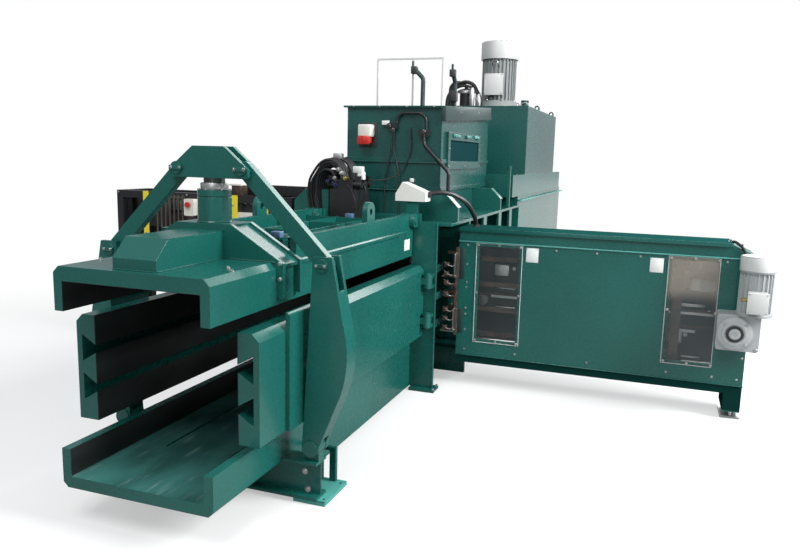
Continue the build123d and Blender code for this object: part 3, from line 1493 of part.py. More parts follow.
with BuildPart() as carriage_rails:
    with BuildSketch(along(cab_x[0] + cab_wall)):
        for height in rail_z:
            with Locations((rail_y, height)):
                Circle(rail_r)
    extrude(amount=cab_width - 2 * cab_wall)
    guide_top_z = sprocket_z + sprocket_r + chain_gap
    with BuildSketch(across(sprocket_y - sprocket_t / 2)):
        with Locations((middle(idler_x, drive_x), guide_top_z - 9)):
            Rectangle(drive_x - idler_x - 3 * sprocket_r, 18)
    extrude(amount=-sprocket_t)
    for bracket_x in (idler_x + 2 * sprocket_r, middle(idler_x, drive_x), drive_x - 2 * sprocket_r):
        with BuildSketch(across(sprocket_y + sprocket_t / 2)):
            with Locations((bracket_x, guide_top_z - 9)):
                Rectangle(30, 18)
        extrude(amount=sprocket_y + sprocket_t / 2 - cab_back_y + cab_wall)
    with BuildSketch(across(sprocket_y - sprocket_t)):
        with Locations((idler_x, sprocket_z)):
            Circle(gear_shaft_r - pin_fit)
    extrude(amount=sprocket_y - sprocket_t - cab_back_y + cab_wall)
carriage_rails.part.label = "carriage_rails"
export_step(carriage_rails.part, "parts/carriage_rails.step")

with BuildPart() as cabinet_foot:
    with BuildSketch(level(0)):
        with Locations((middle(*cab_leg_x), middle(cab_front_y, cab_back_y))):
            Rectangle(cab_leg_x[1] - cab_leg_x[0] + 12, cab_depth - 60)
    extrude(amount=cab_foot_t)
    with BuildSketch(level(cab_foot_t)):
        with Locations((middle(*cab_leg_x), middle(cab_front_y, cab_back_y))):
            with GridLocations(0, cab_depth - 140, 1, 2):
                Circle(cab_stud_r)
    extrude(amount=40)
cabinet_foot.part.label = "cabinet_foot"
export_step(cabinet_foot.part, "parts/cabinet_foot.step")

with BuildPart() as needle_carriage:
    post_z = (rail_z[0] - 60, rail_z[1] + 60)
    with BuildSketch(across(needle_y - carriage_t / 2)):
        with Locations((carriage_x, middle(*post_z))):
            Rectangle(carriage_t, post_z[1] - post_z[0])
    extrude(amount=-carriage_t)
    for height in rail_z:
        with BuildSketch(along(carriage_x - carriage_t)):
            with Locations((middle(needle_y, rail_y + 40), height)):
                Rectangle(rail_y + 40 - needle_y, 80)
            with Locations((rail_y, height)):
                Circle(rail_r + pin_fit, mode=Mode.SUBTRACT)
        extrude(amount=2 * carriage_t)
    with BuildSketch(across(needle_y - needle_t / 2)):
        for wire in wire_z:
            with BuildLine():
                Polyline(
                    (carriage_x, wire - needle_h / 2), (needle_tip_x + needle_point, wire - needle_h / 2),
                    (needle_tip_x, wire - 6), (needle_tip_x, wire + 6),
                    (needle_tip_x + needle_point, wire + needle_h / 2), (carriage_x, wire + needle_h / 2),
                    close=True,
                )
            make_face()
    extrude(amount=-needle_t)
needle_carriage.part.label = "needle_carriage"
export_step(needle_carriage.part, "parts/needle_carriage.step")

with BuildSketch() as sprocket_face:
    Circle(sprocket_r - 7)
    with PolarLocations(sprocket_r - 7, sprocket_teeth):
        Trapezoid(14, 14, 70, rotation=-90)
    Circle(gear_shaft_r, mode=Mode.SUBTRACT)

with BuildPart() as drive_sprocket:
    with BuildSketch(across(sprocket_y - sprocket_t / 2)):
        with Locations((drive_x, sprocket_z)):
            add(sprocket_face.sketch)
    extrude(amount=-sprocket_t)
    shaft_y = (cabinet_y - gearbox_t + 20, rail_y + 50)
    with BuildSketch(across(shaft_y[0])):
        with Locations((drive_x, sprocket_z)):
            Circle(gear_shaft_r)
    extrude(amount=shaft_y[0] - shaft_y[1])
drive_sprocket.part.label = "drive_sprocket"
export_step(drive_sprocket.part, "parts/drive_sprocket.step")

with BuildPart() as idler_sprocket:
    with BuildSketch(across(sprocket_y - sprocket_t / 2)):
        with Locations((idler_x, sprocket_z)):
            add(sprocket_face.sketch)
    extrude(amount=-sprocket_t)
idler_sprocket.part.label = "idler_sprocket"
export_step(idler_sprocket.part, "parts/idler_sprocket.step")

with BuildPart() as drive_chain:
    with BuildSketch(across(sprocket_y - sprocket_t / 2)):
        with Locations((middle(idler_x, drive_x), sprocket_z)):
            SlotCenterToCenter(drive_x - idler_x, 2 * (sprocket_r + chain_gap + chain_t))
            SlotCenterToCenter(drive_x - idler_x, 2 * (sprocket_r + chain_gap), mode=Mode.SUBTRACT)
    extrude(amount=-sprocket_t)
drive_chain.part.label = "drive_chain"
export_step(drive_chain.part, "parts/drive_chain.step")

# Gearbox and its motor, whose axis stands beside the output shaft

with BuildPart() as gearbox:
    with BuildSketch(across(cabinet_y - gearbox_t)):
        with Locations((middle(*gearbox_x), middle(*gearbox_z))):
            RectangleRounded(gearbox_x[1] - gearbox_x[0], gearbox_z[1] - gearbox_z[0], 18)
    extrude(amount=-gearbox_t)
    with BuildSketch(across(cabinet_y - gearbox_t - 12)):
        with Locations((drive_x, sprocket_z)):
            Circle(gearbox_flange_r)
    extrude(amount=-12)
    with BuildSketch(across(cabinet_y - gearbox_t - 24)):
        with Locations((drive_x, sprocket_z)):
            Circle(gearbox_hub_r)
    extrude(amount=-12)
    with BuildSketch(across(cabinet_y)):
        with Locations((drive_x, sprocket_z)):
            Circle(gear_shaft_r + pin_fit)
    extrude(amount=2 * gearbox_t, mode=Mode.SUBTRACT)
gearbox.part.label = "gearbox"
export_step(gearbox.part, "parts/gearbox.step")

with BuildPart() as gear_motor:
    motor_y = cabinet_y - gear_motor_r - 4
    with BuildSketch(level(gearbox_z[1])):
        with Locations((gear_motor_x, motor_y)):
            Circle(gear_motor_r)
    extrude(amount=20)
    with BuildSketch(level(gearbox_z[1] + 20)):
        with Locations((gear_motor_x, motor_y)):
            Circle(gear_motor_r - 14)
            with PolarLocations(gear_motor_r - 11, 20):
                Rectangle(16, 5)
    extrude(amount=gear_motor_top_z - gearbox_z[1] - 120)
    with BuildSketch(level(gear_motor_top_z - 100)):
        with Locations((gear_motor_x, motor_y)):
            Circle(gear_motor_r)
    extrude(amount=100)
    with BuildSketch(across(motor_y - gear_motor_r - gear_motor_box[2] + 20)):
        with Locations((gear_motor_x, gearbox_z[1] + 100)):
            RectangleRounded(gear_motor_box[0], gear_motor_box[1], 8)
    extrude(amount=-gear_motor_box[2])
gear_motor.part.label = "gear_motor"
export_step(gear_motor.part, "parts/gear_motor.step")

# Wire twister on the far side: frame, guards, twisting head and stop switch

with BuildPart() as twister_frame:
    post_y = (twister_y[0] + tube_w / 2, twister_y[1] - tube_w / 2)
    post_x = (twister_x[0] + tube_w / 2, middle(*twister_x), twister_x[1] - tube_w / 2)
    with BuildSketch(level(0)):
        for x in post_x:
            for y in post_y:
                with Locations((x, y)):
                    Rectangle(2 * tube_w, tube_w)
    extrude(amount=foot_t)
    with BuildSketch(level(foot_t)):
        for x in post_x:
            for y in post_y:
                with Locations((x, y)):
                    Rectangle(tube_w, tube_w)
        with Locations((post_x[-1], middle(*block_y))):
            Rectangle(tube_w, block_y[1] - block_y[0])
    extrude(amount=twister_top_z - foot_t)
    for rail_low in (foot_t + tube_w, twister_top_z - tube_w):
        with BuildSketch(level(rail_low)):
            with Locations((middle(*twister_x), middle(*twister_y))):
                Rectangle(twister_x[1] - twister_x[0], twister_y[1] - twister_y[0])
                Rectangle(
                    twister_x[1] - twister_x[0] - 2 * tube_w, twister_y[1] - twister_y[0] - 2 * tube_w,
                    mode=Mode.SUBTRACT,
                )
        extrude(amount=tube_w)
    with BuildSketch(level(twister_rail_z)):
        with Locations((middle(post_x[1], twister_x[1]), post_y[0])):
            Rectangle(twister_x[1] - post_x[1], tube_w)
    extrude(amount=tube_w)
    with BuildSketch(along(twister_x[0])):
        with Locations((middle(*twister_y), middle(foot_t + tube_w, twister_top_z))):
            Rectangle(twister_y[1] - twister_y[0], twister_top_z - foot_t - tube_w)
    extrude(amount=slat_t)
    with BuildSketch(across(beam_y)):
        with Locations((middle(*beam_x), twister_top_z + beam_top / 2)):
            Rectangle(beam_x[1] - beam_x[0], beam_top)
        with Locations((beam_x[1] - tube_w / 2, middle(stiffener_top_z, twister_top_z))):
            Rectangle(tube_w, twister_top_z - stiffener_top_z)
    extrude(amount=-beam_top)
    with BuildSketch(level(twister_top_z - tube_w)):
        with Locations((beam_x[0] + tube_w / 2, middle(*twister_y))):
            Rectangle(tube_w, twister_y[1] - twister_y[0])
    extrude(amount=tube_w)
twister_frame.part.label = "twister_frame"
export_step(twister_frame.part, "parts/twister_frame.step")

with BuildPart() as twister_guards:
    guard_y = twister_y[0] - slat_t
    slat_count = int((slat_x[1] - slat_x[0]) / (3 * slat_w))
    with BuildSketch(across(guard_y)):
        for low_x, high_x, low_z, high_z in plate_yellow:
            with Locations((middle(low_x, high_x), middle(low_z, high_z + tube_w))):
                Rectangle(high_x - low_x, high_z + tube_w - low_z)
        with BuildLine():
            Polyline(
                (end_plate_x[0], twister_rail_z), (end_plate_x[0], twister_top_z + end_plate_lip),
                (end_plate_x[1] - end_plate_cuts[0], twister_top_z + end_plate_lip),
                (end_plate_x[1], plate_high_z), (end_plate_x[1], end_plate_low_z),
                (end_plate_x[1] - end_plate_cuts[1], twister_rail_z), close=True,
            )
        make_face()
        with Locations((middle(*slat_x), middle(slat_low_z, twister_top_z - slat_end))):
            with GridLocations(3 * slat_w, 0, slat_count, 1):
                Rectangle(slat_w, twister_top_z - slat_end - slat_low_z)
        with Locations((middle(*slat_x), slat_low_z + slat_end), (middle(*slat_x), twister_top_z - tube_w + slat_end)):
            Rectangle(3 * slat_w * slat_count, slat_w)
    extrude(amount=-slat_t)
twister_guards.part.label = "twister_guards"
export_step(twister_guards.part, "parts/twister_guards.step")

with BuildPart() as twister_block:
    with BuildSketch(along(block_x[0])):
        with Locations((middle(*block_y), middle(*block_z))):
            Rectangle(block_y[1] - block_y[0], block_z[1] - block_z[0])
    extrude(amount=block_x[1] - block_x[0])
    with BuildSketch(along(block_x[1])):
        for wire in wire_z:
            with Locations((twist_y, wire)):
                Circle(twist_r + pin_fit)
    extrude(amount=-twist_seat, mode=Mode.SUBTRACT)
twister_block.part.label = "twister_block"
export_step(twister_block.part, "parts/twister_block.step")

with BuildPart() as twister_hook_1:
    with BuildSketch(along(block_x[1] - twist_seat + 5)):
        with Locations((twist_y, wire_z[0])):
            Circle(twist_r)
    extrude(amount=twist_head_x[1] - block_x[1] + twist_seat - 5)
    with BuildSketch(along(twist_head_x[0])):
        with Locations((twist_y, wire_z[0])):
            Circle(twist_head_r)
            with Locations((-twist_head_r * 0.7, 0)):
                Rectangle(twist_head_r, twist_r / 2, mode=Mode.SUBTRACT)
    extrude(amount=twist_head_x[1] - twist_head_x[0])
twister_hook_1.part.label = "twister_hook_1"
export_step(twister_hook_1.part, "parts/twister_hook_1.step")

with BuildPart() as twister_hook_2:
    with Locations((0, 0, wire_z[1] - wire_z[0])):
        add(twister_hook_1.part)
twister_hook_2.part.label = "twister_hook_2"
export_step(twister_hook_2.part, "parts/twister_hook_2.step")

with BuildPart() as twister_hook_3:
    with Locations((0, 0, wire_z[2] - wire_z[0])):
        add(twister_hook_1.part)
twister_hook_3.part.label = "twister_hook_3"
export_step(twister_hook_3.part, "parts/twister_hook_3.step")

with BuildPart() as twister_hook_4:
    with Locations((0, 0, wire_z[3] - wire_z[0])):
        add(twister_hook_1.part)
twister_hook_4.part.label = "twister_hook_4"
export_step(twister_hook_4.part, "parts/twister_hook_4.step")

with BuildPart() as e_stop_box:
    with BuildSketch(across(twister_y[0] - stop_d)):
        with Locations((stop_x, middle(*stop_z))):
            RectangleRounded(stop_w, stop_z[1] - stop_z[0], 8)
        with Locations((stop_x, stop_z[1] - stop_w / 2)):
            Circle(button_stem_r + pin_fit, mode=Mode.SUBTRACT)
    extrude(amount=-stop_d)
    with BuildSketch(level(twister_rail_z + tube_w)):
        with Locations((controls_x, twister_y[0] + tube_w / 2)):
            RectangleRounded(controls_size[0], controls_size[1], 6)
    extrude(amount=controls_size[2])
e_stop_box.part.label = "e_stop_box"
export_step(e_stop_box.part, "parts/e_stop_box.step")

with BuildPart() as e_stop_button:
    head_y = twister_y[0] - stop_d - stop_travel - 20
    with BuildSketch(across(head_y)):
        with Locations((stop_x, stop_z[1] - stop_w / 2)):
            Circle(button_r)
    extrude(amount=-18)
    with BuildSketch(across(head_y)):
        with Locations((stop_x, stop_z[1] - stop_w / 2)):
            Circle(button_stem_r)
    extrude(amount=-(20 + stop_travel + stop_d / 2))
e_stop_button.part.label = "e_stop_button"
export_step(e_stop_button.part, "parts/e_stop_button.step")
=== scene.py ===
from math import cos, pi, radians, sin

import bpy
from mathutils import Matrix, Vector


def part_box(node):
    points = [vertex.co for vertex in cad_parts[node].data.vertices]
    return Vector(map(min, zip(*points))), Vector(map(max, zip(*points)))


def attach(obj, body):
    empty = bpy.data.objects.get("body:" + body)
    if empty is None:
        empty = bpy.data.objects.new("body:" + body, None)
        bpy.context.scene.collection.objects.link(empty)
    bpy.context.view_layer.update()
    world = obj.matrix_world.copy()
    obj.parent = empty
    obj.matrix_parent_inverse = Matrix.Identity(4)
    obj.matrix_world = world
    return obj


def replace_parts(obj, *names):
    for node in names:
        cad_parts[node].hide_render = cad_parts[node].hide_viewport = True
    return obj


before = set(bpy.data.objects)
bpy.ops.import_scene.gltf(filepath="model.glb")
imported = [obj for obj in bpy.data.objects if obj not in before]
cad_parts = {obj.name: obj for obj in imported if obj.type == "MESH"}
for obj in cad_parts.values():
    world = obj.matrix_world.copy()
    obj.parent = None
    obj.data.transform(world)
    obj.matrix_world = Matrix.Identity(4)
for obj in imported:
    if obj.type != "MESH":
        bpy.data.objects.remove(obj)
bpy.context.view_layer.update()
bpy.ops.object.select_all(action="DESELECT")

# Camera: the eye of a person standing in front of the discharge end, to the right of it (m, degrees, mm)

EYE = (2.014, -3.075, 1.650)
TURN_LEFT = 19.59
LOOK_DOWN = 9.359
TILT = 1.489
LENS = 32.90
SENSOR_WIDTH = 36
NEAREST, FARTHEST = 0.05, 200

bpy.ops.object.camera_add(location=EYE)
camera = bpy.context.object
camera.name = "photo_camera"
camera.data.lens = LENS
camera.data.sensor_width = SENSOR_WIDTH
camera.data.clip_start = NEAREST
camera.data.clip_end = FARTHEST
turn = (
    Matrix.Rotation(radians(TURN_LEFT), 4, "Z")
    @ Matrix.Rotation(radians(90 - LOOK_DOWN), 4, "X")
    @ Matrix.Rotation(radians(TILT), 4, "Z")
)
camera.matrix_world = Matrix.Translation(EYE) @ turn
bpy.context.scene.camera = camera
bpy.context.scene.view_settings.view_transform = "Standard"


# Node helpers

def new_material(name):
    """An empty node material; returns it with its tree, its shader and its coordinates."""
    material = bpy.data.materials.new(name)
    material.use_nodes = True
    tree = material.node_tree
    return material, tree, tree.nodes["Principled BSDF"], tree.nodes.new("ShaderNodeTexCoord")


def noise(tree, place, scale, detail=4.0, stretch=(1, 1, 1)):
    """Noise on object coordinates; a stretch below 1 draws it out along that axis."""
    mapping = tree.nodes.new("ShaderNodeMapping")
    mapping.inputs["Scale"].default_value = stretch
    tree.links.new(place.outputs["Object"], mapping.inputs["Vector"])
    texture = tree.nodes.new("ShaderNodeTexNoise")
    texture.inputs["Scale"].default_value = scale
    texture.inputs["Detail"].default_value = detail
    tree.links.new(mapping.outputs["Vector"], texture.inputs["Vector"])
    return texture.outputs["Fac"]


def ramp(tree, value, low, high, start, end):
    """A colour that goes from start at low to end at high."""
    node = tree.nodes.new("ShaderNodeValToRGB")
    for element, position, colour in zip(node.color_ramp.elements, (low, high), (start, end)):
        element.position = position
        element.color = (*colour, 1)
    tree.links.new(value, node.inputs["Fac"])
    return node.outputs["Color"]


def spread(tree, value, low, high, start=0.0, end=1.0):
    """Maps a value between start and end onto low to high, and holds it there beyond them."""
    node = tree.nodes.new("ShaderNodeMapRange")
    for socket, number in (("From Min", start), ("From Max", end), ("To Min", low), ("To Max", high)):
        node.inputs[socket].default_value = number
    tree.links.new(value, node.inputs["Value"])
    return node.outputs["Result"]


def blended(tree, amount, first, second):
    """Mixes two colours; each is a socket or a plain colour."""
    node = tree.nodes.new("ShaderNodeMix")
    node.data_type = "RGBA"
    tree.links.new(amount, node.inputs["Factor"])
    for socket, colour in ((node.inputs["A"], first), (node.inputs["B"], second)):
        if isinstance(colour, tuple):
            socket.default_value = (*colour, 1)
        else:
            tree.links.new(colour, socket)
    return node.outputs["Result"]


def mixed_shader(tree, amount, first, second):
    """The first shader where amount is 0, the second where it is 1."""
    node = tree.nodes.new("ShaderNodeMixShader")
    for socket, source in zip(node.inputs, (amount, first, second)):
        tree.links.new(source, socket)
    return node.outputs["Shader"]


def bump(tree, shader, height, strength, distance, round_edge=0.0):
    """Surface relief, on top of a softened edge where one is given."""
    node = tree.nodes.new("ShaderNodeBump")
    node.inputs["Strength"].default_value = strength
    node.inputs["Distance"].default_value = distance
    tree.links.new(height, node.inputs["Height"])
    if round_edge:
        edge = tree.nodes.new("ShaderNodeBevel")
        edge.samples = 4
        edge.inputs["Radius"].default_value = round_edge
        tree.links.new(edge.outputs["Normal"], node.inputs["Normal"])
    tree.links.new(node.outputs["Normal"], shader.inputs["Normal"])


def computed(tree, operation, *values):
    """One math node; each value is a number or a socket."""
    node = tree.nodes.new("ShaderNodeMath")
    node.operation = operation
    for socket, value in zip(node.inputs, values):
        if isinstance(value, (int, float)):
            socket.default_value = value
        else:
            tree.links.new(value, socket)
    return node.outputs["Value"]


def axes(tree, place):
    """The x, y and z of the object coordinates."""
    node = tree.nodes.new("ShaderNodeSeparateXYZ")
    tree.links.new(place.outputs["Object"], node.inputs["Vector"])
    return [node.outputs[axis] for axis in "XYZ"]


def region(tree, place, across, along, up):
    """1 where |x|, y and z lie within the three (low, high) ranges, else 0."""
    x, y, z = axes(tree, place)
    inside = 1.0
    for value, (low, high) in ((computed(tree, "ABSOLUTE", x), across), (y, along), (z, up)):
        above = computed(tree, "GREATER_THAN", value, low)
        below = computed(tree, "LESS_THAN", value, high)
        inside = computed(tree, "MULTIPLY", computed(tree, "MULTIPLY", above, below), inside)
    return inside


# Materials

def sooty(tree, place):
    """The nearly black, scoured paint where bales slide past."""
    soot = noise(tree, place, 7, 6, stretch=(1, 0.25, 1))
    return ramp(tree, soot, 0.35, 0.75, (0.013, 0.015, 0.015), (0.032, 0.040, 0.038))


def scuffed(tree, place):
    """Trodden green with pale scuffs drawn out along the channel."""
    dirt = noise(tree, place, 5, 7, stretch=(1, 0.5, 1))
    ground = ramp(tree, dirt, 0.38, 0.66, (0.020, 0.085, 0.076), (0.045, 0.170, 0.152))
    scratch = noise(tree, place, 42, 6, stretch=(1, 0.12, 1))
    pale_marks = ramp(tree, scratch, 0.58, 0.72, (0, 0, 0), (0.5, 0.5, 0.5))
    return blended(tree, pale_marks, ground, (0.17, 0.27, 0.25))


def enamel(name, colour, deep, rough=0.27, edge=0.004, dust=0.035, patches=(), shine=0.5, dull_shine=0.2, coat=0.12):
    """Machine enamel: slightly uneven colour, orange peel and dust.

    Patches are (three ranges, colour) and lie on top of it. They are duller, with dull_shine for shine and no coat.
    """
    material, tree, shader, place = new_material(name)
    tone = ramp(tree, noise(tree, place, 1.3, 3), 0.35, 0.68, deep, colour)
    fine = noise(tree, place, 38, 5)
    specks = ramp(tree, fine, 0.60, 0.74, (0, 0, 0), (1, 1, 1))
    worn = tuple(0.75 * channel + 0.03 for channel in colour)
    shade = blended(tree, computed(tree, "MULTIPLY", specks, dust), tone, worn)
    dull = 0.0
    for ranges, cover in patches:
        inside = region(tree, place, *ranges)
        shade = blended(tree, inside, shade, cover if isinstance(cover, tuple) else cover(tree, place))
        dull = computed(tree, "MAXIMUM", inside, dull)
    tree.links.new(shade, shader.inputs["Base Color"])
    gloss = spread(tree, fine, rough - 0.01, rough + 0.02)
    shader.inputs["Specular IOR Level"].default_value = shine
    shader.inputs["Coat Weight"].default_value = coat
    shader.inputs["Coat Roughness"].default_value = 0.10
    if patches:
        duller = 0.28
        gloss = computed(tree, "MULTIPLY_ADD", dull, duller, gloss)
        tree.links.new(spread(tree, dull, shine, dull_shine), shader.inputs["Specular IOR Level"])
        tree.links.new(spread(tree, dull, coat, 0.0), shader.inputs["Coat Weight"])
    tree.links.new(gloss, shader.inputs["Roughness"])
    bump(tree, shader, noise(tree, place, 22, 2), 0.012, 0.0004, edge)
    return material


def metal(name, colour, rough):
    """Bare metal with a fine grain and faint stains."""
    material, tree, shader, place = new_material(name)
    grain = noise(tree, place, 90, 6)
    stain = noise(tree, place, 5, 4)
    dull = tuple(0.6 * channel for channel in colour)
    tree.links.new(ramp(tree, stain, 0.35, 0.75, colour, dull), shader.inputs["Base Color"])
    shader.inputs["Metallic"].default_value = 1.0
    tree.links.new(spread(tree, grain, rough - 0.08, rough + 0.14), shader.inputs["Roughness"])
    bump(tree, shader, grain, 0.08, 0.0004, round_edge=0.001)
    return material


def moulded(name, colour, rough):
    """Plastic or rubber with a fine moulded grain."""
    material, tree, shader, place = new_material(name)
    tone = noise(tree, place, 9, 3)
    darker = tuple(0.8 * channel for channel in colour)
    tree.links.new(ramp(tree, tone, 0.3, 0.7, darker, colour), shader.inputs["Base Color"])
    tree.links.new(spread(tree, tone, rough - 0.05, rough + 0.08), shader.inputs["Roughness"])
    bump(tree, shader, noise(tree, place, 220, 2), 0.15, 0.0004)
    return material


def rusty(name):
    """Iron with mill scale and brown rust."""
    material, tree, shader, place = new_material(name)
    patch = noise(tree, place, 24, 6)
    colour = ramp(tree, patch, 0.38, 0.62, (0.040, 0.030, 0.026), (0.105, 0.055, 0.040))
    tree.links.new(colour, shader.inputs["Base Color"])
    tree.links.new(spread(tree, patch, 0.4, 0.8), shader.inputs["Roughness"])
    shader.inputs["Metallic"].default_value = 0.35
    bump(tree, shader, patch, 0.35, 0.0012, round_edge=0.0015)
    return material


def pane(name, tint, cover, shine=0.25):
    """A clear safety pane; cover is how much it hides. Farther right it hides a little more, and its upper part there
    has a painted reflection of the pale hall in its colour.
    """
    material, tree, shader, place = new_material(name)
    haze = noise(tree, place, 6, 5)
    tree.links.new(spread(tree, haze, 0.06, 0.16), shader.inputs["Roughness"])
    x, _, z = axes(tree, place)
    to_the_right = spread(tree, x, 0.0, 1.0, start=1.2, end=2.1)
    upward = spread(tree, z, 0.0, 1.0, start=0.76, end=0.83)
    painted_reflection_part = computed(tree, "MULTIPLY", to_the_right, upward)
    right_cover, reflection_cover, haze_cover = 0.07, 0.17, 0.06
    hidden = computed(tree, "MULTIPLY_ADD", to_the_right, right_cover, cover)
    hidden = computed(tree, "MULTIPLY_ADD", painted_reflection_part, reflection_cover, hidden)
    tree.links.new(computed(tree, "MULTIPLY_ADD", haze, haze_cover, hidden), shader.inputs["Alpha"])
    # painted reflection: the pale hall's colour is painted onto the pane's upper right part
    hall = (0.50, 0.46, 0.40)
    tree.links.new(blended(tree, painted_reflection_part, tint, hall), shader.inputs["Base Color"])
    shader.inputs["IOR"].default_value = 1.45
    shader.inputs["Specular IOR Level"].default_value = shine
    bump(tree, shader, haze, 0.03, 0.0005)
    return material


GREEN = (0.008, 0.112, 0.094)
DEEP_GREEN = (0.006, 0.086, 0.072)


def machine_green(name, *patches, dull_shine=0.2):
    """The green enamel of the machine, with patches."""
    return enamel(name, GREEN, DEEP_GREEN, patches=patches, dull_shine=dull_shine)


# Where the patches lie: (low, high) in |x|, y and z, in metres
EVERYWHERE = (-1000, 1000)
# painted highlight: the tops of the foot plates are painted pale where they catch the light
FOOT_PLATE_HIGHLIGHT = (EVERYWHERE, (-0.2, 0.2), (0, 0.0205))
DOOR_LININGS = ((-1, 0.3768), EVERYWHERE, (0, 2))
INSIDE, BEHIND_THE_TIP = (-1, 0.3435), (-0.698, 9)
TOP_LINING = (INSIDE, EVERYWHERE, (0.9, 1.0965))
CHANNEL_FLOOR = (INSIDE, BEHIND_THE_TIP, (0.2205, 0.2245))
CHANNEL_LINING = (INSIDE, BEHIND_THE_TIP, (0.2245, 2))
# painted shade: the recessed sill band under the cabinet's panel is painted darker
CABINET_SILL_SHADE = (EVERYWHERE, EVERYWHERE, (0.06, 0.2325))
# painted shade: the cabinet's top is painted darker and duller
CABINET_TOP_SHADE = (EVERYWHERE, EVERYWHERE, (1.1480, 2))
PUMP_MOTOR_BODY = (EVERYWHERE, (4, 5.3), (2.20, 2.66))
GUARD_SLATS = ((1.667, 1.995), EVERYWHERE, EVERYWHERE)
BOX_BRACKET = (EVERYWHERE, EVERYWHERE, (0, 1.3448))

green = machine_green("green_enamel")
feet_paint_with_highlight = machine_green("green_enamel_feet_painted_highlight", (FOOT_PLATE_HIGHLIGHT, (0.075, 0.32, 0.28)))
door_paint = machine_green("green_enamel_doors", (DOOR_LININGS, sooty))
top_paint = machine_green("green_enamel_top_channel", (TOP_LINING, sooty))
trough_paint = machine_green("green_enamel_bottom_channel", (CHANNEL_FLOOR, scuffed), (CHANNEL_LINING, sooty))
cabinet_paint = machine_green(
    "green_enamel_cabinet_painted_shade", (CABINET_SILL_SHADE, (0.005, 0.032, 0.028)), (CABINET_TOP_SHADE, (0.009, 0.060, 0.055)), dull_shine=0.0,
)
# painted shade: the oil tank and hopper, farther back, get a darker copy of the green
back_green_painted_shade = enamel("green_enamel_back_painted_shade", (0.010, 0.082, 0.073), (0.008, 0.064, 0.057))
# painted shade: the lid is a darker, matt copy of the green
matt_shaded_green = enamel("matt_green_lid_painted_shade", (0.011, 0.075, 0.068), (0.009, 0.062, 0.056), 0.6, shine=0.0, coat=0.0)
post_green = enamel("dull_post_green", (0.016, 0.044, 0.042), (0.012, 0.035, 0.034), 0.55)
shadow_green = enamel("shadowed_green_enamel", (0.004, 0.034, 0.029), (0.003, 0.026, 0.022), 0.5)
# painted highlight: a paler green for edges and strips that catch the light
highlight_green = enamel("green_enamel_painted_highlight", (0.085, 0.34, 0.30), (0.06, 0.27, 0.24), 0.4)
weld_bead = enamel("painted_weld_bead", (0.017, 0.118, 0.100), (0.010, 0.082, 0.070), 0.28, 0.0, 0.05)
grey = enamel(
    "grey_motor_enamel", (0.33, 0.355, 0.355), (0.26, 0.28, 0.28), 0.42, 0.002, 0.05,
    [(PUMP_MOTOR_BODY, (0.27, 0.29, 0.29))],
)
housing = enamel("grey_gearbox_enamel", (0.42, 0.44, 0.445), (0.34, 0.36, 0.365), 0.36, 0.002, 0.05)
black = enamel("black_enamel", (0.018, 0.018, 0.020), (0.010, 0.010, 0.012), 0.38, 0.003, 0.12)
yellow = enamel(
    "yellow_guard_enamel", (0.86, 0.76, 0.045), (0.76, 0.62, 0.03), 0.4, 0.002, 0.05,
    [(GUARD_SLATS, (0.085, 0.078, 0.066))],
)
pale = enamel("pale_grey_tube_enamel", (0.62, 0.63, 0.62), (0.55, 0.56, 0.55), 0.45, 0.001, 0.05)
box_and_bracket = enamel(
    "box_cream_on_green_bracket", (0.80, 0.79, 0.74), (0.74, 0.73, 0.68), 0.42, 0.002, 0.03, [(BOX_BRACKET, GREEN)],
)
steel = metal("ground_steel", (0.56, 0.56, 0.55), 0.32)
chrome = metal("chromed_rod", (0.78, 0.79, 0.80), 0.12)
cast = metal("cast_housing", (0.62, 0.63, 0.63), 0.42)
# painted shade: the squeeze rod is painted dark where it lies in shadow
shaded_rod = metal("rod_painted_shade", (0.10, 0.13, 0.125), 0.22)
brass = metal("yellow_zinc", (0.62, 0.50, 0.22), 0.30)
rust = rusty("rusty_iron")
rubber = moulded("hose_rubber", (0.014, 0.014, 0.015), 0.42)
cream = moulded("cream_plastic", (0.80, 0.78, 0.70), 0.45)
red = moulded("red_plastic", (0.55, 0.03, 0.02), 0.28)
blank = moulded("blank_white_plate", (0.86, 0.87, 0.86), 0.35)
# dark plastic and rubber; also the colour of painted shade behind parts
dark = moulded("dark_plastic_and_painted_shade", (0.030, 0.032, 0.034), 0.55)
navy = moulded("navy_plastic", (0.018, 0.028, 0.10), 0.35)
sensor_blue = moulded("blue_sensor_plastic", (0.10, 0.18, 0.30), 0.35)
beige = moulded("primed_sheet", (0.62, 0.55, 0.47), 0.5)
pale_blue = moulded("blue_grey_box", (0.42, 0.48, 0.56), 0.4)
glass = pane("safety_pane", (0.26, 0.31, 0.32), 0.03)
smoked = pane("smoked_pane", (0.010, 0.042, 0.046), 0.95, 0.0)

NODE_FINISH = {
    "front_feet": feet_paint_with_highlight, "side_door_left": door_paint, "side_door_right": door_paint,
    "press_chamber": door_paint, "top_channel": top_paint, "bottom_channel": trough_paint,
    "needle_cabinet": cabinet_paint, "oil_tank": back_green_painted_shade, "hopper": back_green_painted_shade, "sensor_posts": post_green,
    "wire_guides": rust, "needle_carriage": rust, "drive_chain": rust,
    "squeeze_rod": shaded_rod, "ram_rod": chrome, "ram": steel, "carriage_rails": steel, "cabinet_foot": steel,
    "drive_sprocket": steel, "idler_sprocket": steel,
    "twister_hook_1": steel, "twister_hook_2": steel, "twister_hook_3": steel, "twister_hook_4": steel,
    "hopper_window": smoked, "cabinet_windows": glass, "guard_frame": pale, "pump_motor": grey,
    "gearbox": housing, "gear_motor": housing, "junction_box": box_and_bracket,
    "power_inlet": cream, "e_stop_box": cream, "e_stop_button": red,
    "hopper_cables": rubber, "hydraulic_hoses": rubber, "cabinet_conduit": rubber,
    "valve_block": black, "valve_coils": black, "twister_frame": black, "twister_block": black,
    "twister_guards": yellow,
}
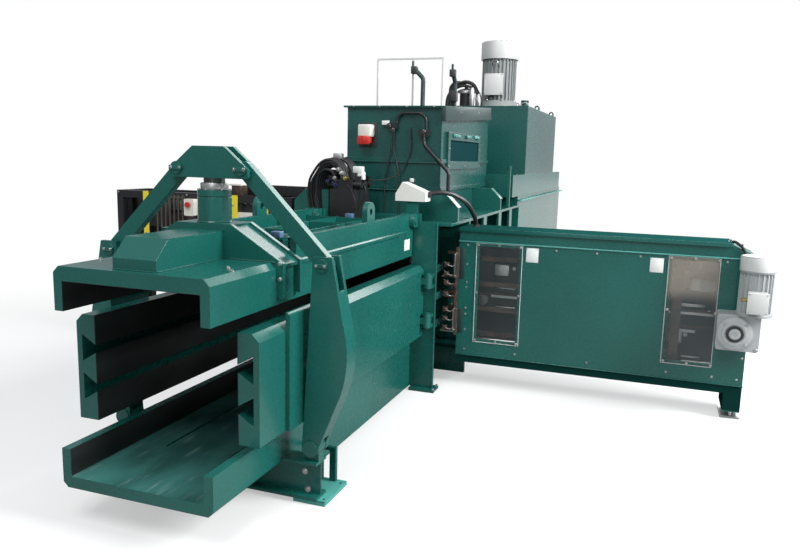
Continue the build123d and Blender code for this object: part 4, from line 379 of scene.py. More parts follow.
for node_name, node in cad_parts.items():
    finish = NODE_FINISH.get(node_name, green)
    if not node.data.materials:
        node.data.materials.append(finish)
    for index in range(len(node.data.materials)):
        node.data.materials[index] = finish

# Modelling helpers

ORIGIN = (0, 0, 0)
FRONT, BACK = (0, -1, 0), (0, 1, 0)
RIGHT, LEFT = (1, 0, 0), (-1, 0, 0)
UP, DOWN = (0, 0, 1), (0, 0, -1)
SIDES = (-1, 1)
CORNERS = [(first, second) for first in SIDES for second in SIDES]


def only(piece):
    """Makes one piece the only selected and active one."""
    bpy.ops.object.select_all(action="DESELECT")
    piece.select_set(True)
    bpy.context.view_layer.objects.active = piece


def settled(piece):
    """Puts a new primitive's place and size into its mesh."""
    only(piece)
    bpy.ops.object.transform_apply(location=True, rotation=True, scale=True)
    return piece


def painted(piece, material):
    """Gives the whole piece one material."""
    piece.data.materials.clear()
    piece.data.materials.append(material)
    return piece


def soften(piece, width, segments=2):
    """Rounds the sharp edges of a piece."""
    only(piece)
    bpy.ops.object.modifier_add(type="BEVEL")
    modifier = piece.modifiers[-1]
    modifier.width = width
    modifier.segments = segments
    modifier.limit_method = "ANGLE"
    bpy.ops.object.modifier_apply(modifier=modifier.name)
    return piece


def step_up(piece, steps):
    """Insets the top face and raises or sinks it, once for each (inset, rise); a sunk one is the last."""
    for inset, rise in steps:
        only(piece)
        bpy.context.tool_settings.mesh_select_mode = (False, False, True)
        bpy.ops.object.mode_set(mode="EDIT")
        bpy.ops.mesh.select_all(action="DESELECT")
        bpy.ops.object.mode_set(mode="OBJECT")
        top = max(vertex.co.z for vertex in piece.data.vertices)
        for face in piece.data.polygons:
            face.select = face.normal.z > 0.9 and abs(face.center.z - top) < 1e-5
        bpy.ops.object.mode_set(mode="EDIT")
        bpy.ops.mesh.inset(thickness=inset)
        bpy.ops.mesh.extrude_region_move(TRANSFORM_OT_translate={"value": (0, 0, rise)})
        bpy.ops.object.mode_set(mode="OBJECT")
    return piece


def drum(material, radius, height, foot=ORIGIN, sides=32, steps=()):
    """An upright cylinder that stands on foot, stepped at its top."""
    centre = (foot[0], foot[1], foot[2] + height / 2)
    bpy.ops.mesh.primitive_cylinder_add(vertices=sides, radius=radius, depth=height, location=centre)
    return step_up(painted(settled(bpy.context.object), material), steps)


def block(material, size, centre=ORIGIN, rounding=0.0, segments=2):
    """A box of that size around a centre, with its edges rounded where a width is given."""
    bpy.ops.mesh.primitive_cube_add(size=1, location=centre)
    bpy.context.object.scale = size
    box = painted(settled(bpy.context.object), material)
    return soften(box, rounding, segments) if rounding else box


def tube(material, points, radius, sides=10, sharp=False):
    """A round tube along points, with closed ends and, unless it is sharp, rounded bends."""
    curve = bpy.data.curves.new("tube_line", "CURVE")
    curve.dimensions = "3D"
    spline = curve.splines.new("POLY" if sharp else "BEZIER")
    if sharp:
        spline.points.add(len(points) - 1)
        for knot, point in zip(spline.points, points):
            knot.co = (*point, 1)
    else:
        spline.bezier_points.add(len(points) - 1)
        for knot, point in zip(spline.bezier_points, points):
            knot.co = point
            knot.handle_left_type = knot.handle_right_type = "AUTO"
    curve.resolution_u = 8
    curve.bevel_depth = radius
    curve.bevel_resolution = max(1, sides // 4)
    curve.use_fill_caps = True
    piece = bpy.data.objects.new("tube", curve)
    bpy.context.collection.objects.link(piece)
    only(piece)
    bpy.ops.object.convert(target="MESH")
    return painted(bpy.context.object, material)


def joined(pieces):
    """Joins pieces into the first one."""
    if len(pieces) == 1:
        return pieces[0]
    bpy.ops.object.select_all(action="DESELECT")
    for piece in pieces:
        piece.select_set(True)
    bpy.context.view_layer.objects.active = pieces[0]
    bpy.ops.object.join()
    return pieces[0]


def moved(piece, place, facing=UP, spin=0.0):
    """Turns a piece modelled along +Z to face another way, and puts it at its place."""
    aim = Vector(facing).to_track_quat("Z", "Y").to_matrix().to_4x4()
    piece.data.transform(Matrix.Translation(place) @ aim @ Matrix.Rotation(spin, 4, "Z"))
    return piece


def repeated(master, spots):
    """Copies of one master, each with its own mesh, at (place, facing) spots, as one piece."""
    copies = []
    for place, facing in spots:
        twin = master.copy()
        twin.data = master.data.copy()
        bpy.context.collection.objects.link(twin)
        copies.append(moved(twin, place, facing))
    bpy.data.objects.remove(master)
    return joined(copies)


def finished(pieces, name, body="frame"):
    """Joins pieces into one, cleans it up, names it, and lets it ride on its body."""
    piece = joined(pieces)
    only(piece)
    bpy.ops.object.mode_set(mode="EDIT")
    bpy.ops.mesh.select_all(action="SELECT")
    bpy.ops.mesh.remove_doubles(threshold=0.00002)
    bpy.ops.mesh.normals_make_consistent(inside=False)
    bpy.ops.object.mode_set(mode="OBJECT")
    bpy.ops.object.shade_smooth_by_angle(angle=radians(35))
    piece.name = name
    piece.data.name = name
    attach(piece, body)
    return piece


def hex_bolt(radius):
    """A hexagon head on a washer, standing on the floor plane."""
    washer = drum(steel, radius * 1.45, radius * 0.25, sides=20)
    head = drum(steel, radius, radius * 0.8, (0, 0, radius * 0.2), 6, [(radius * 0.12, radius * 0.1)])
    return joined([soften(washer, radius * 0.06, 1), head])


def button_screw(radius):
    """A low round head with a socket."""
    steps = [(radius * 0.25, radius * 0.2), (radius * 0.25, -radius * 0.3)]
    return drum(steel, radius, radius * 0.35, sides=16, steps=steps)


def seam(points, radius=0.004):
    """A painted weld bead along a line."""
    return tube(weld_bead, points, radius, 6, sharp=True)


def bolts(name, radius, spots, body="frame"):
    """One piece of equal bolts."""
    return finished([repeated(hex_bolt(radius), spots)], name, body)


def in_front(y, spots):
    """Spots on an upright face that looks to the front, from their (x, z)."""
    return [((x, y, z), FRONT) for x, z in spots]


def circle(x, y, z, radius, count, start=0.0):
    """Level points around a centre; the last one lies on the first."""
    angles = [start + 2 * pi * k / count for k in range(count + 1)]
    return [(x + radius * cos(angle), y + radius * sin(angle), z) for angle in angles]


# Needle cabinet

panel_y, pane_y = 1.983, 1.978
pane_foot, pane_top = 0.338, 1.057
pane_spots = [(x, z) for x in (0.802, 1.104, 2.093, 2.386) for z in (0.352, 0.700, 1.043)]
pane_spots += [(x, z) for x in (0.953, 2.240) for z in (0.349, 1.047)]
bolts("window_pane_bolts", 0.0062, in_front(pane_y, pane_spots))

sheet_spots = [(x, 0.275) for x in (0.726, 1.098, 1.60, 2.118, 2.40, 2.55)]
sheet_spots += [(x, 1.038) for x in (0.723, 1.35, 1.62, 1.90, 2.43, 2.57)]
sheet_spots += [(0.724, z) for z in (0.771, 0.731, 0.580, 0.536, 0.42, 0.90)]
sheet_spots += [(2.57, 0.42), (2.57, 0.84), (0.62, 0.72), (0.62, 0.60)]
bolts("cabinet_panel_bolts", 0.0055, in_front(panel_y, sheet_spots))

blank_plates = (
    ((1.186, panel_y, 0.995), FRONT, 0.085, 0.100, "frame"),
    ((2.005, panel_y, 0.987), FRONT, 0.085, 0.096, "frame"),
    ((0.387, 1.62, 1.055), RIGHT, 0.075, 0.110, "top_channel"),
)
thickness = 0.002
for number, (place, facing, width, height, body) in enumerate(blank_plates, 1):
    plate = block(blank, (width, height, thickness), (0, 0, thickness / 2), 0.0006)
    corners = [((sx * width * 0.43, sy * height * 0.44, thickness), UP) for sx, sy in CORNERS]
    plate = joined([plate, repeated(button_screw(0.003), corners)])
    if facing == RIGHT:
        moved(plate, ORIGIN, UP, pi / 2)
    moved(plate, place, facing, pi if facing == FRONT else 0)
    finished([plate], f"blank_plate_{number}", body=body)

rim, rim_y = [], pane_y + 0.0025
for left, right in ((0.789, 1.117), (2.078, 2.390)):
    for (x1, z1), (x2, z2) in (
        ((left, pane_top), (right, pane_top)), ((left, pane_foot), (right, pane_foot)),
        ((left, pane_foot), (left, pane_top)), ((right, pane_foot), (right, pane_top)),
    ):
        rim.append(tube(pale, [(x1, rim_y, z1), (x2, rim_y, z2)], 0.0026, 6, sharp=True))
finished(rim, "window_pane_rims")

panel_x, panel_width = 1.6245, 1.936
# the top strip's paler green is a painted highlight
top_strip = block(highlight_green, (panel_width, 0.010, 0.010), (panel_x, panel_y - 0.003, 1.0635), 0.003, 3)
foot_strip = block(green, (panel_width, 0.008, 0.008), (panel_x, panel_y - 0.002, 0.2325), 0.003, 3)
finished([top_strip, foot_strip], "panel_edge_strips")

lid_x, lid_width = 1.553, 1.80
# the lid's darker green is painted shade
lid = block(matt_shaded_green, (lid_width, 0.322, 0.005), (lid_x, 2.133, 1.1585), 0.002)
lip = block(green, (lid_width, 0.004, 0.026), (lid_x, 1.974, 1.148), 0.0015)
finished([lid, lip], "cabinet_lid")

# painted shade: a dark sheet at the cabinet's back stands for its shaded inside
finished([block(dark, (1.88, 0.003, 0.93), (1.6, 2.2735, 0.665), 0.001)], "cabinet_back_painted_shade")

inner_blocks = []
for x, z, width in ((0.93, 0.84, 0.11), (2.29, 0.84, 0.12), (2.16, 0.47, 0.09)):
    inner_blocks.append(block(cast, (width, 0.05, 0.085), (x, 2.235, z), 0.006))
    inner_blocks.append(moved(hex_bolt(0.010), (x + width * 0.75, 2.262, z + 0.01), FRONT))
finished(inner_blocks, "cabinet_inner_blocks")

motor_cable = tube(rubber, [
    (2.45, 2.10, 1.150), (2.47, 2.02, 1.165), (2.53, 1.965, 1.10),
    (2.535, 1.95, 0.99), (2.53, 1.87, 0.90), (2.545, 1.845, 0.86),
], 0.009)
finished([motor_cable, moved(hex_bolt(0.014), (2.45, 2.10, 1.160), UP)], "gear_motor_cable")

# Gearbox, with its axis to the front, and upright gear motor

gear_x, gear_z, gear_front = 2.495, 0.612, 1.833
ring = drum(housing, 0.105, 0.006, sides=48, steps=[(0.008, 0.004), (0.022, 0.003), (0.018, -0.004)])
moved(soften(ring, 0.0012), (gear_x, gear_front - 0.012, gear_z), FRONT)
seal = drum(dark, 0.052, 0.004, sides=40, steps=[(0.016, -0.003)])
moved(seal, (gear_x, gear_front - 0.024, gear_z), FRONT)
hub = drum(housing, 0.034, 0.010, steps=[(0.006, 0.003), (0.012, -0.004)])
moved(hub, (gear_x, gear_front - 0.024, gear_z), FRONT)
finished([ring, seal, hub], "gearbox_output_rings")

ring_bolts = 0.090
diagonals = [radians(45 + 90 * k) for k in range(4)]
gear_spots = in_front(gear_front - 0.0175, [
    (gear_x + ring_bolts * cos(angle), gear_z + ring_bolts * sin(angle)) for angle in diagonals
])
gear_spots += in_front(gear_front, [(gear_x + dx, z) for dx in (-0.09, 0.13) for z in (0.515, 0.715)])
gear_spots.append(((gear_x + 0.02, 1.90, 0.500), DOWN))
bolts("gearbox_bolts", 0.009, gear_spots)

motor_x, motor_y = 2.595, 1.879
flange = soften(drum(grey, 0.108, 0.014, (motor_x, motor_y, 0.730), 40), 0.003)
cowl = drum(pale, 0.103, 0.085, (motor_x, motor_y, 1.010), 40, [(0.010, 0.007), (0.012, -0.004)])
soften(cowl, 0.003)
band = soften(drum(grey, 0.1045, 0.010, (motor_x, motor_y, 1.006), 40), 0.002)
finished([flange, band, cowl], "gear_motor_cowl")

box_z = 0.830
box_lid = block(pale, (0.118, 0.012, 0.132), (motor_x, 1.713, box_z), 0.004)
lid_spots = in_front(1.707, [(motor_x + sx * 0.049, box_z + sz * 0.056) for sx, sz in CORNERS])
cable_gland = moved(drum(brass, 0.013, 0.032, sides=6), (motor_x - 0.056, 1.745, box_z + 0.015), LEFT)
finished([box_lid, repeated(button_screw(0.0045), lid_spots), cable_gland], "gear_motor_box_lid")

# Wire guides: bright edge strips, rollers and hooks on the rusty rods

guide_edges = []
for low, high in ((0.800, 0.990), (0.410, 0.590)):
    guide_edges.append(block(steel, (0.004, 0.075, high - low - 0.02), (0.653, 1.940, (low + high) / 2), 0.001))
    for tip in (low + 0.012, high - 0.012):
        guide_edges.append(moved(hex_bolt(0.007), (0.655, 1.930, tip), RIGHT))
finished(guide_edges, "wire_guide_edges")

recesses = []
for low, high in ((0.792, 1.012), (0.392, 0.572)):
    middle = (low + high) / 2
    recesses.append(block(shadow_green, (0.040, 0.003, high - low), (0.686, 1.9812, middle), 0.001))
    recesses.append(block(steel, (0.0035, 0.006, high - low), (0.664, 1.979, middle)))
    recesses.append(moved(drum(steel, 0.008, 0.10, sides=16), (0.546, 1.955, low + 0.012), RIGHT))
finished(recesses, "guide_recess_strips")

rollers = []
for height in (0.840, 0.778, 0.692, 0.580, 0.450, 0.905, 0.515):
    roller = drum(rust, 0.014, 0.052, sides=20, steps=[(0.003, 0.003), (0.004, -0.006)])
    rollers.append(moved(soften(roller, 0.001), (0.604, 1.895, height), FRONT))
    rollers.append(tube(steel, [
        (0.590, 1.86, height + 0.02), (0.612, 1.85, height + 0.004),
        (0.640, 1.86, height - 0.01), (0.650, 1.905, height - 0.012),
    ], 0.0035, 6))
finished(rollers, "wire_rollers_and_hooks")

# Hopper: inlet with its red hood, cable glands, window clips, cover strip and weld seams

inlet_x = -0.212
inlet = [
    block(cream, (0.112, 0.088, 0.096), (inlet_x, 2.306, 1.842), 0.012, 3),
    soften(moved(drum(red, 0.050, 0.052), (inlet_x, 2.292, 1.800), DOWN), 0.004),
    block(red, (0.104, 0.020, 0.060), (inlet_x, 2.254, 1.765), 0.006),
    moved(drum(red, 0.006, 0.06, sides=12), (inlet_x - 0.03, 2.258, 1.796), RIGHT),
    block(dark, (0.150, 0.004, 0.190), (inlet_x, 2.3475, 1.810), 0.001),
]
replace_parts(finished(inlet, "power_inlet_with_hood"), "power_inlet")

glands = []
for x, z in ((-0.020, 1.882), (0.012, 1.850), (0.262, 1.842)):
    nut = drum(steel, 0.015, 0.012, sides=6)
    neck = drum(dark, 0.011, 0.030, (0, 0, 0.012), 20, [(0.003, 0.006)])
    glands.append(moved(joined([nut, neck]), (x, 2.306, z), FRONT))
glands.append(block(blank, (0.060, 0.030, 0.034), (-0.060, 2.334, 1.905), 0.004))
glands.append(block(blank, (0.030, 0.026, 0.030), (0.165, 2.337, 1.470), 0.005))
finished(glands, "hopper_cable_glands")

window_x = 0.409
clips = []
# the clips' paler green is a painted highlight
for y, width, z in ((2.70, 0.20, 1.824), (3.07, 0.14, 1.828), (3.355, 0.16, 1.832)):
    clips.append(block(highlight_green, (0.012, width, 0.024), (window_x + 0.006, y, z), 0.003))
    clips.append(moved(hex_bolt(0.007), (window_x + 0.012, y, z), RIGHT))
for y, z in ((2.51, 1.58), (3.00, 1.58), (3.49, 1.58), (2.51, 1.72), (3.49, 1.72)):
    clips.append(moved(hex_bolt(0.007), (window_x, y, z), RIGHT))
finished(clips, "window_clips")

rim_x, rim_z = 0.415, 2.028
rim_spots = in_front(2.322, [(x, rim_z) for x in (-0.33, -0.11, 0.11, 0.33)])
for x, facing in ((rim_x, RIGHT), (-rim_x, LEFT)):
    rim_spots += [((x, y, rim_z), facing) for y in (2.5, 2.85, 3.2, 3.55, 3.8)]
bolts("hopper_rim_bolts", 0.0045, rim_spots)

strip_x, strip_slope = 0.4235, 0.058
cover_strip = moved(block(post_green, (1.500, 0.112, 0.004)), (strip_x, 3.0725, 2.020), RIGHT, strip_slope)
strip_end = block(post_green, (0.034, 0.004, 0.106), (0.4065, 2.3245, 1.9765))
strip_spots = [((strip_x + 0.002, y, z), RIGHT) for y, z in ((2.75, 2.012), (3.33, 2.045))]
finished(
    [soften(cover_strip, 0.0012), soften(strip_end, 0.0012), repeated(hex_bolt(0.008), strip_spots)],
    "hopper_side_cover_strip",
)

wall_x = 0.387
hopper_seams = [seam([(x, y, 1.165), (x, y, 2.02)]) for y in (2.350, 3.870) for x in (wall_x, -wall_x)]
hopper_seams += [seam([(-0.40, 2.3365, z), (0.40, 2.3365, z)], 0.003) for z in (1.391, 1.607)]
finished(hopper_seams, "hopper_weld_seams")

sensor_heads = [
    block(dark, (0.046, 0.046, 0.056), (0.163, 2.332, 2.297), 0.006),
    block(dark, (0.046, 0.046, 0.056), (0.401, 2.558, 2.297), 0.006),
    block(dark, (0.060, 0.056, 0.080), (0.401, 2.596, 2.125), 0.006),
]
finished(sensor_heads, "sensor_heads")

# Power unit: motor cowl, terminal box lid, filter head, hoses and tank fittings

pump_x, pump_y = 0.280, 4.750
sleeve = drum(pale, 0.1962, 0.170, (pump_x, pump_y, 2.671), 64, [(0.012, 0.008), (0.010, -0.004)])
cowl_parts = [soften(sleeve, 0.003), drum(dark, 0.168, 0.003, (pump_x, pump_y, 2.846), 48)]
grille_z = 2.851
for k in range(5):
    wire = circle(pump_x, pump_y, grille_z, 0.03 + 0.032 * k, 32)
    cowl_parts.append(tube(pale, wire, 0.002, 4, sharp=True))
for tip in circle(pump_x, pump_y, grille_z, 0.165, 4, pi / 4)[:-1]:
    cowl_parts.append(tube(pale, [(pump_x, pump_y, grille_z), tip], 0.003, 4, sharp=True))
eye_line = [
    (-0.03, -0.185, 2.60), (-0.03, -0.215, 2.62), (0, -0.225, 2.64), (0.03, -0.215, 2.62), (0.03, -0.185, 2.60),
]
cowl_parts.append(tube(steel, [(pump_x + dx, pump_y + dy, z) for dx, dy, z in eye_line], 0.007, 8))
finished(cowl_parts, "pump_motor_cowl_grille")

box_y, box_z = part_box("pump_motor")[0].y, 2.405
box_lid = block(pale, (0.196, 0.012, 0.216), (pump_x, box_y - 0.002, box_z), 0.005)
lid_spots = in_front(box_y - 0.008, [(pump_x + sx * 0.085, box_z + sz * 0.095) for sx, sz in CORNERS])
lid_screws = repeated(button_screw(0.006), lid_spots)
box_gland = moved(drum(dark, 0.018, 0.03, sides=6), (pump_x - 0.04, box_y + 0.045, 2.310), DOWN)
finished([box_lid, lid_screws, box_gland], "pump_motor_box_lid")

flange_ring = circle(pump_x, pump_y, 2.250, 0.196, 8, pi / 8)[:-1]
bolts("pump_flange_bolts", 0.010, [(place, UP) for place in flange_ring])

filter_x, filter_y, tank_top = -0.040, 4.650, 2.190
filter_head = drum(cast, 0.078, 0.022, (filter_x, filter_y, 2.322), 32, [(0.012, 0.008), (0.030, 0.010)])
fittings = [soften(filter_head, 0.003)]
for dx, dy, height in ((0.13, -0.02, 0.13), (0.16, -0.10, 0.10), (0.09, -0.12, 0.16)):
    x, y = filter_x + dx, filter_y + dy
    fittings.append(soften(drum(cast, 0.026, height, (x, y, tank_top), 20, [(0.005, 0.012), (0.004, 0.01)]), 0.002))
    fittings.append(drum(steel, 0.031, 0.020, (x, y, tank_top + height * 0.45), 6))
finished(fittings, "filter_and_return_fittings")

arches = []
for dy, rise, reach, radius in ((-0.05, 0.235, 0.20, 0.020), (-0.10, 0.195, 0.18, 0.014), (0.02, 0.17, 0.16, 0.014)):
    arch_line = ((0.14, 0.13), (0.06, rise), (-0.06, rise), (-reach * 0.9, 0.11), (-reach, 0.002))
    arches.append(tube(rubber, [(filter_x + dx, filter_y + dy, tank_top + dz) for dx, dz in arch_line], radius))
finished(arches, "tank_lid_hoses")

caps = []
for x, y, radius, height in ((0.435, 5.02, 0.028, 0.05), (0.47, 5.12, 0.020, 0.07), (0.54, 5.16, 0.024, 0.04)):
    cap = drum(cast, radius, height, (x, y, tank_top), 24, [(0.004, 0.006), (radius * 0.4, 0.012)])
    caps.append(soften(cap, 0.002))
handle_line = [(x, 4.94, tank_top + dz) for x, dz in ((0.50, 0), (0.50, 0.05), (0.56, 0.05), (0.56, 0))]
caps.append(tube(steel, handle_line, 0.006, 8))
finished(caps, "tank_lid_fittings")

gauge = block(steel, (0.030, 0.020, 0.260), (-0.45, 4.492, 1.78), 0.004)
gauge_glass = block(smoked, (0.014, 0.012, 0.200), (-0.45, 4.478, 1.78), 0.005, 3)
finished([gauge, gauge_glass], "tank_level_gauge")

cover_y, cover_z = 5.55, 1.78
cover = block(green, (0.008, 0.520, 0.420), (-0.654, cover_y, cover_z), 0.003)
around = [(dy, dz) for dy in (-0.23, 0, 0.23) for dz in (-0.18, 0, 0.18) if dy or dz]
cover_bolts = repeated(hex_bolt(0.010), [((-0.658, cover_y + dy, cover_z + dz), LEFT) for dy, dz in around])
finished([cover, cover_bolts], "tank_clean_out_cover")

# Valve stack: plugs, caps, hose nuts, hoses and cables

deck_z = 1.206
stack = [
    block(blank, (0.078, 0.050, 0.050), (-0.150, 2.02, 1.545), 0.006),
    block(blank, (0.050, 0.044, 0.060), (-0.125, 2.02, 1.500), 0.005),
    block(cast, (0.070, 0.050, 0.045), (-0.330, 2.05, 1.640), 0.006),
]
for x, z, material in (
    (-0.262, 1.545, steel), (-0.236, 1.520, cast), (-0.290, 1.480, steel),
    (-0.205, 1.480, brass), (-0.345, 1.455, navy), (-0.285, 1.432, navy),
):
    nut = drum(material, 0.017, 0.030, sides=6, steps=[(0.004, 0.012), (0.003, 0.008)])
    stack.append(moved(nut, (x, 1.925, z), FRONT))
# painted shade: a dark block behind the hoses stands for the shaded mass between them
stack.append(block(dark, (0.150, 0.080, 0.320), (-0.345, 2.045, deck_z + 0.160), 0.008))
finished(stack, "valve_plugs_and_nuts")

bundle = []
for k in range(14):
    near = 1.925 + 0.009 * k
    left = -0.520 + 0.018 * (k % 5)
    top = 1.615 - 0.016 * (k % 4)
    bundle.append(tube(rubber, [
        (-0.245 + 0.011 * (k % 3), near, 1.470), (-0.270, near, top - 0.04), (-0.345, near - 0.008, top),
        (left + 0.035, near, top - 0.11), (left, near + 0.006, 1.40),
        (left + 0.012 + 0.008 * (k % 3), near + 0.020, deck_z),
    ], 0.0125 if k % 3 else 0.010))
for k in range(8):
    near = 1.915 + 0.012 * k
    left = -0.447 + 0.011 * k
    bundle.append(tube(rubber, [
        (-0.285, near, 1.45), (-0.320, near - 0.012, 1.53), (left + 0.035, near, 1.52 - 0.005 * k),
        (left, near + 0.01, 1.42), (left + 0.005, near + 0.02, 1.30), (left + 0.030, near + 0.03, deck_z),
    ], 0.011))
bundle.append(tube(rubber, [
    (-0.150, 1.99, 1.49), (-0.08, 1.99, 1.40), (-0.10, 1.985, 1.30), (-0.14, 1.96, deck_z),
], 0.006))
bundle.append(tube(rubber, [
    (-0.190, 1.90, 1.44), (-0.13, 1.86, 1.38), (-0.10, 1.85, 1.28), (-0.15, 1.86, deck_z),
], 0.0045))
finished(bundle, "valve_hose_bundle")

thin_cable = tube(rubber, [
    (0.144, 2.337, 1.870), (0.148, 2.337, 1.700), (0.110, 2.330, 1.586),
    (0.030, 2.290, 1.495), (-0.090, 2.200, 1.465), (-0.170, 2.150, 1.470),
], 0.0055)
finished([thin_cable], "hopper_thin_cables")

conduit_start, conduit_end = (0.468, 1.810, 1.394), (0.748, 2.110, 1.159)
conduit = tube(rubber, [
    conduit_start, (0.512, 1.830, 1.406), (0.590, 1.880, 1.404), (0.650, 1.930, 1.378),
    (0.697, 1.980, 1.338), (0.727, 2.050, 1.272), (0.745, 2.100, 1.200), conduit_end,
], 0.0165, 12)
start_nut = moved(drum(dark, 0.020, 0.024, sides=6), (0.470, 1.810, 1.394), RIGHT)
end_nut = drum(dark, 0.024, 0.018, conduit_end, 6)
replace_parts(finished([conduit, start_nut, end_nut], "cabinet_conduit_hose"), "cabinet_conduit")

# Squeeze gear: gland ring, pin lock plates, cap bolts and weld seams

cylinder_y, gland_z = -0.08, 1.4723
gland_spots = [(place, UP) for place in circle(0, cylinder_y, gland_z, 0.0725, 6, pi / 6)[:-1]]
gland_ring = drum(steel, 0.0652, 0.0307, (0, cylinder_y, gland_z), 48, [(0.004, 0.002)])
finished(
    [repeated(hex_bolt(0.005), gland_spots), soften(gland_ring, 0.001)],
    "cylinder_gland_ring", "top_channel",
)

keepers = []
for side in SIDES:
    keepers.append(block(green, (0.070, 0.006, 0.022), (side * 0.174, -0.144, 1.572), 0.002))
    for x, z in ((side * 0.174 - 0.024, 1.572), (side * 0.174 + 0.024, 1.572)):
        keepers.append(moved(hex_bolt(0.0055), (x, -0.147, z), FRONT))
finished(keepers, "yoke_pin_keepers", "yoke")

for side, hand in ((1, "right"), (-1, "left")):
    keeper_x, keeper_z = side * 0.590, 1.155
    keeper = [block(green, (0.060, 0.006, 0.020), (keeper_x, -0.1445, keeper_z), 0.002)]
    keeper += [moved(hex_bolt(0.0055), (keeper_x + dx, -0.1475, keeper_z), FRONT) for dx in (-0.020, 0.020)]
    finished(keeper, f"lever_pin_keeper_{hand}", f"lever_{hand}")

saddle_spots = in_front(-0.176, [(sx * 0.404, z) for z in (1.158, 1.085) for sx in SIDES])
saddle_spots += [((side * x, y, 1.160), UP) for side in (1, -1) for x, y in ((0.283, -0.409), (0.340, -0.470))]
bolts("saddle_bolts", 0.0075, saddle_spots, "top_channel")

corner_strips = [
    block(green, (0.016, 1.565, 0.030), (side * 0.3905, 0.8175, 1.140), 0.0075, 1) for side in SIDES
]
finished(corner_strips, "top_channel_corner_strips", "top_channel")

top_z = 1.162
beads = []
for side in SIDES:
    beads.append(seam([(side * 0.108, -0.655, top_z), (side * 0.108, -0.180, top_z)]))
    beads.append(seam([(side * 0.149, -0.177, top_z), (side * 0.385, -0.177, top_z)]))
    beads.append(seam([(side * 0.353, 0.025, top_z + 0.002), (side * 0.353, 1.60, top_z + 0.002)], 0.0035))
beads.append(seam([(-0.106, -0.661, top_z), (0.106, -0.661, top_z)]))
beads.append(seam(circle(0, cylinder_y, 1.323, 0.081, 40)))
finished(beads, "top_channel_weld_seams", "top_channel")

beads = []
for side in SIDES:
    beads.append(seam([(side * 0.560, 1.7485, 0.02), (side * 0.560, 1.7485, 1.20)], 0.003))
    beads.append(seam([(side * 0.449, -0.128, 0.021), (side * 0.616, -0.128, 0.021)], 0.003))
finished(beads, "frame_weld_seams")

foot_spots = in_front(-0.135, [(side * x, z) for side in (1, -1) for x, z in ((0.515, 0.165), (0.531, 0.078))])
foot_spots += [((sx * 0.575, y, 0.02), UP) for y in (1.815, 1.715) for sx in SIDES]
bolts("frame_foot_bolts", 0.010, foot_spots)

sensor_x, sensor_y = 0.155, 0.245
top_sensor = [
    block(sensor_blue, (0.056, 0.046, 0.032), (sensor_x, sensor_y, 1.238), 0.004),
    tube(rubber, [(sensor_x, 0.27, 1.238), (0.20, 0.36, 1.210), (0.22, 0.55, 1.172), (0.22, 0.58, 1.172)], 0.004, 6),
    block(green, (0.040, 0.040, 0.062), (sensor_x, sensor_y, 1.1925)),
    block(green, (0.030, 0.040, 0.062), (0.236, 0.255, 1.1925)),
]
for k in range(3):
    shim_place = (0.232 + 0.020 * k, 0.255 - 0.012 * k, 1.226 - 0.017 * k)
    top_sensor.append(block(green, (0.060, 0.070, 0.006), shim_place, 0.0015))
finished(top_sensor, "top_channel_sensor", body="top_channel")

hinge_sensor = [
    block(sensor_blue, (0.056, 0.046, 0.032), (-0.080, 1.705, 1.225), 0.004),
    block(green, (0.040, 0.036, 0.050), (-0.080, 1.705, 1.1865)),
]
finished(hinge_sensor, "hinge_sensor", body="top_channel")

# the rails' paler green is a painted highlight
body_rails = [block(highlight_green, (0.045, 3.05, 0.012), (side * 0.6525, 5.805, 1.241), 0.002) for side in SIDES]
finished(body_rails, "rear_body_side_rails")

# Twister unit: mesh, wire drum, drive, controls and sheets

mesh_left, mesh_foot, pitch = -1.985, 0.945, 0.02
wires = []
for k in range(17):
    x = mesh_left + k * pitch
    wires.append(tube(black, [(x, 2.012, mesh_foot), (x, 2.012, 1.285)], 0.0018, 4, sharp=True))
for k in range(18):
    z = mesh_foot + k * pitch
    wires.append(tube(black, [(-1.99, 2.0095, z), (-1.66, 2.0095, z)], 0.0018, 4, sharp=True))
finished(wires, "twister_mesh")

reel = drum(rust, 0.150, 0.16, sides=36, steps=[(0.085, 0.020), (0.030, -0.015)])
drive = drum(cast, 0.060, 0.20, sides=28, steps=[(0.008, 0.01), (0.02, -0.006)])
twister_inside = [
    moved(reel, (-1.84, 2.10, 0.98), BACK),
    block(dark, (0.30, 0.06, 0.26), (-2.15, 2.20, 1.13), 0.001),
    moved(drive, (-1.40, 2.12, 1.12), LEFT),
    block(dark, (0.17, 0.12, 0.105), (-1.105, 2.12, 1.225), 0.010),
    block(cream, (0.20, 0.12, 0.030), (-1.10, 2.11, 1.140), 0.006),
]
for x in (-1.140, -1.085, -1.055):
    twister_inside.append(moved(drum(cast, 0.009, 0.022, sides=12), (x, 2.060, 1.250), FRONT))
twister_inside += [
    # painted shade: this dark sheet behind the mesh stands for the shade inside the unit
    block(dark, (1.62, 0.004, 0.66), (-1.53, 2.388, 0.97), 0.001),
    block(cast, (0.50, 0.05, 0.11), (-1.86, 2.30, 1.19), 0.01),
    block(cast, (1.45, 0.20, 0.012), (-1.55, 2.22, 0.92), 0.002),
]
finished(twister_inside, "twister_inside")

# Behind the cabinet's windows: bars, sheet, lugs and a small box

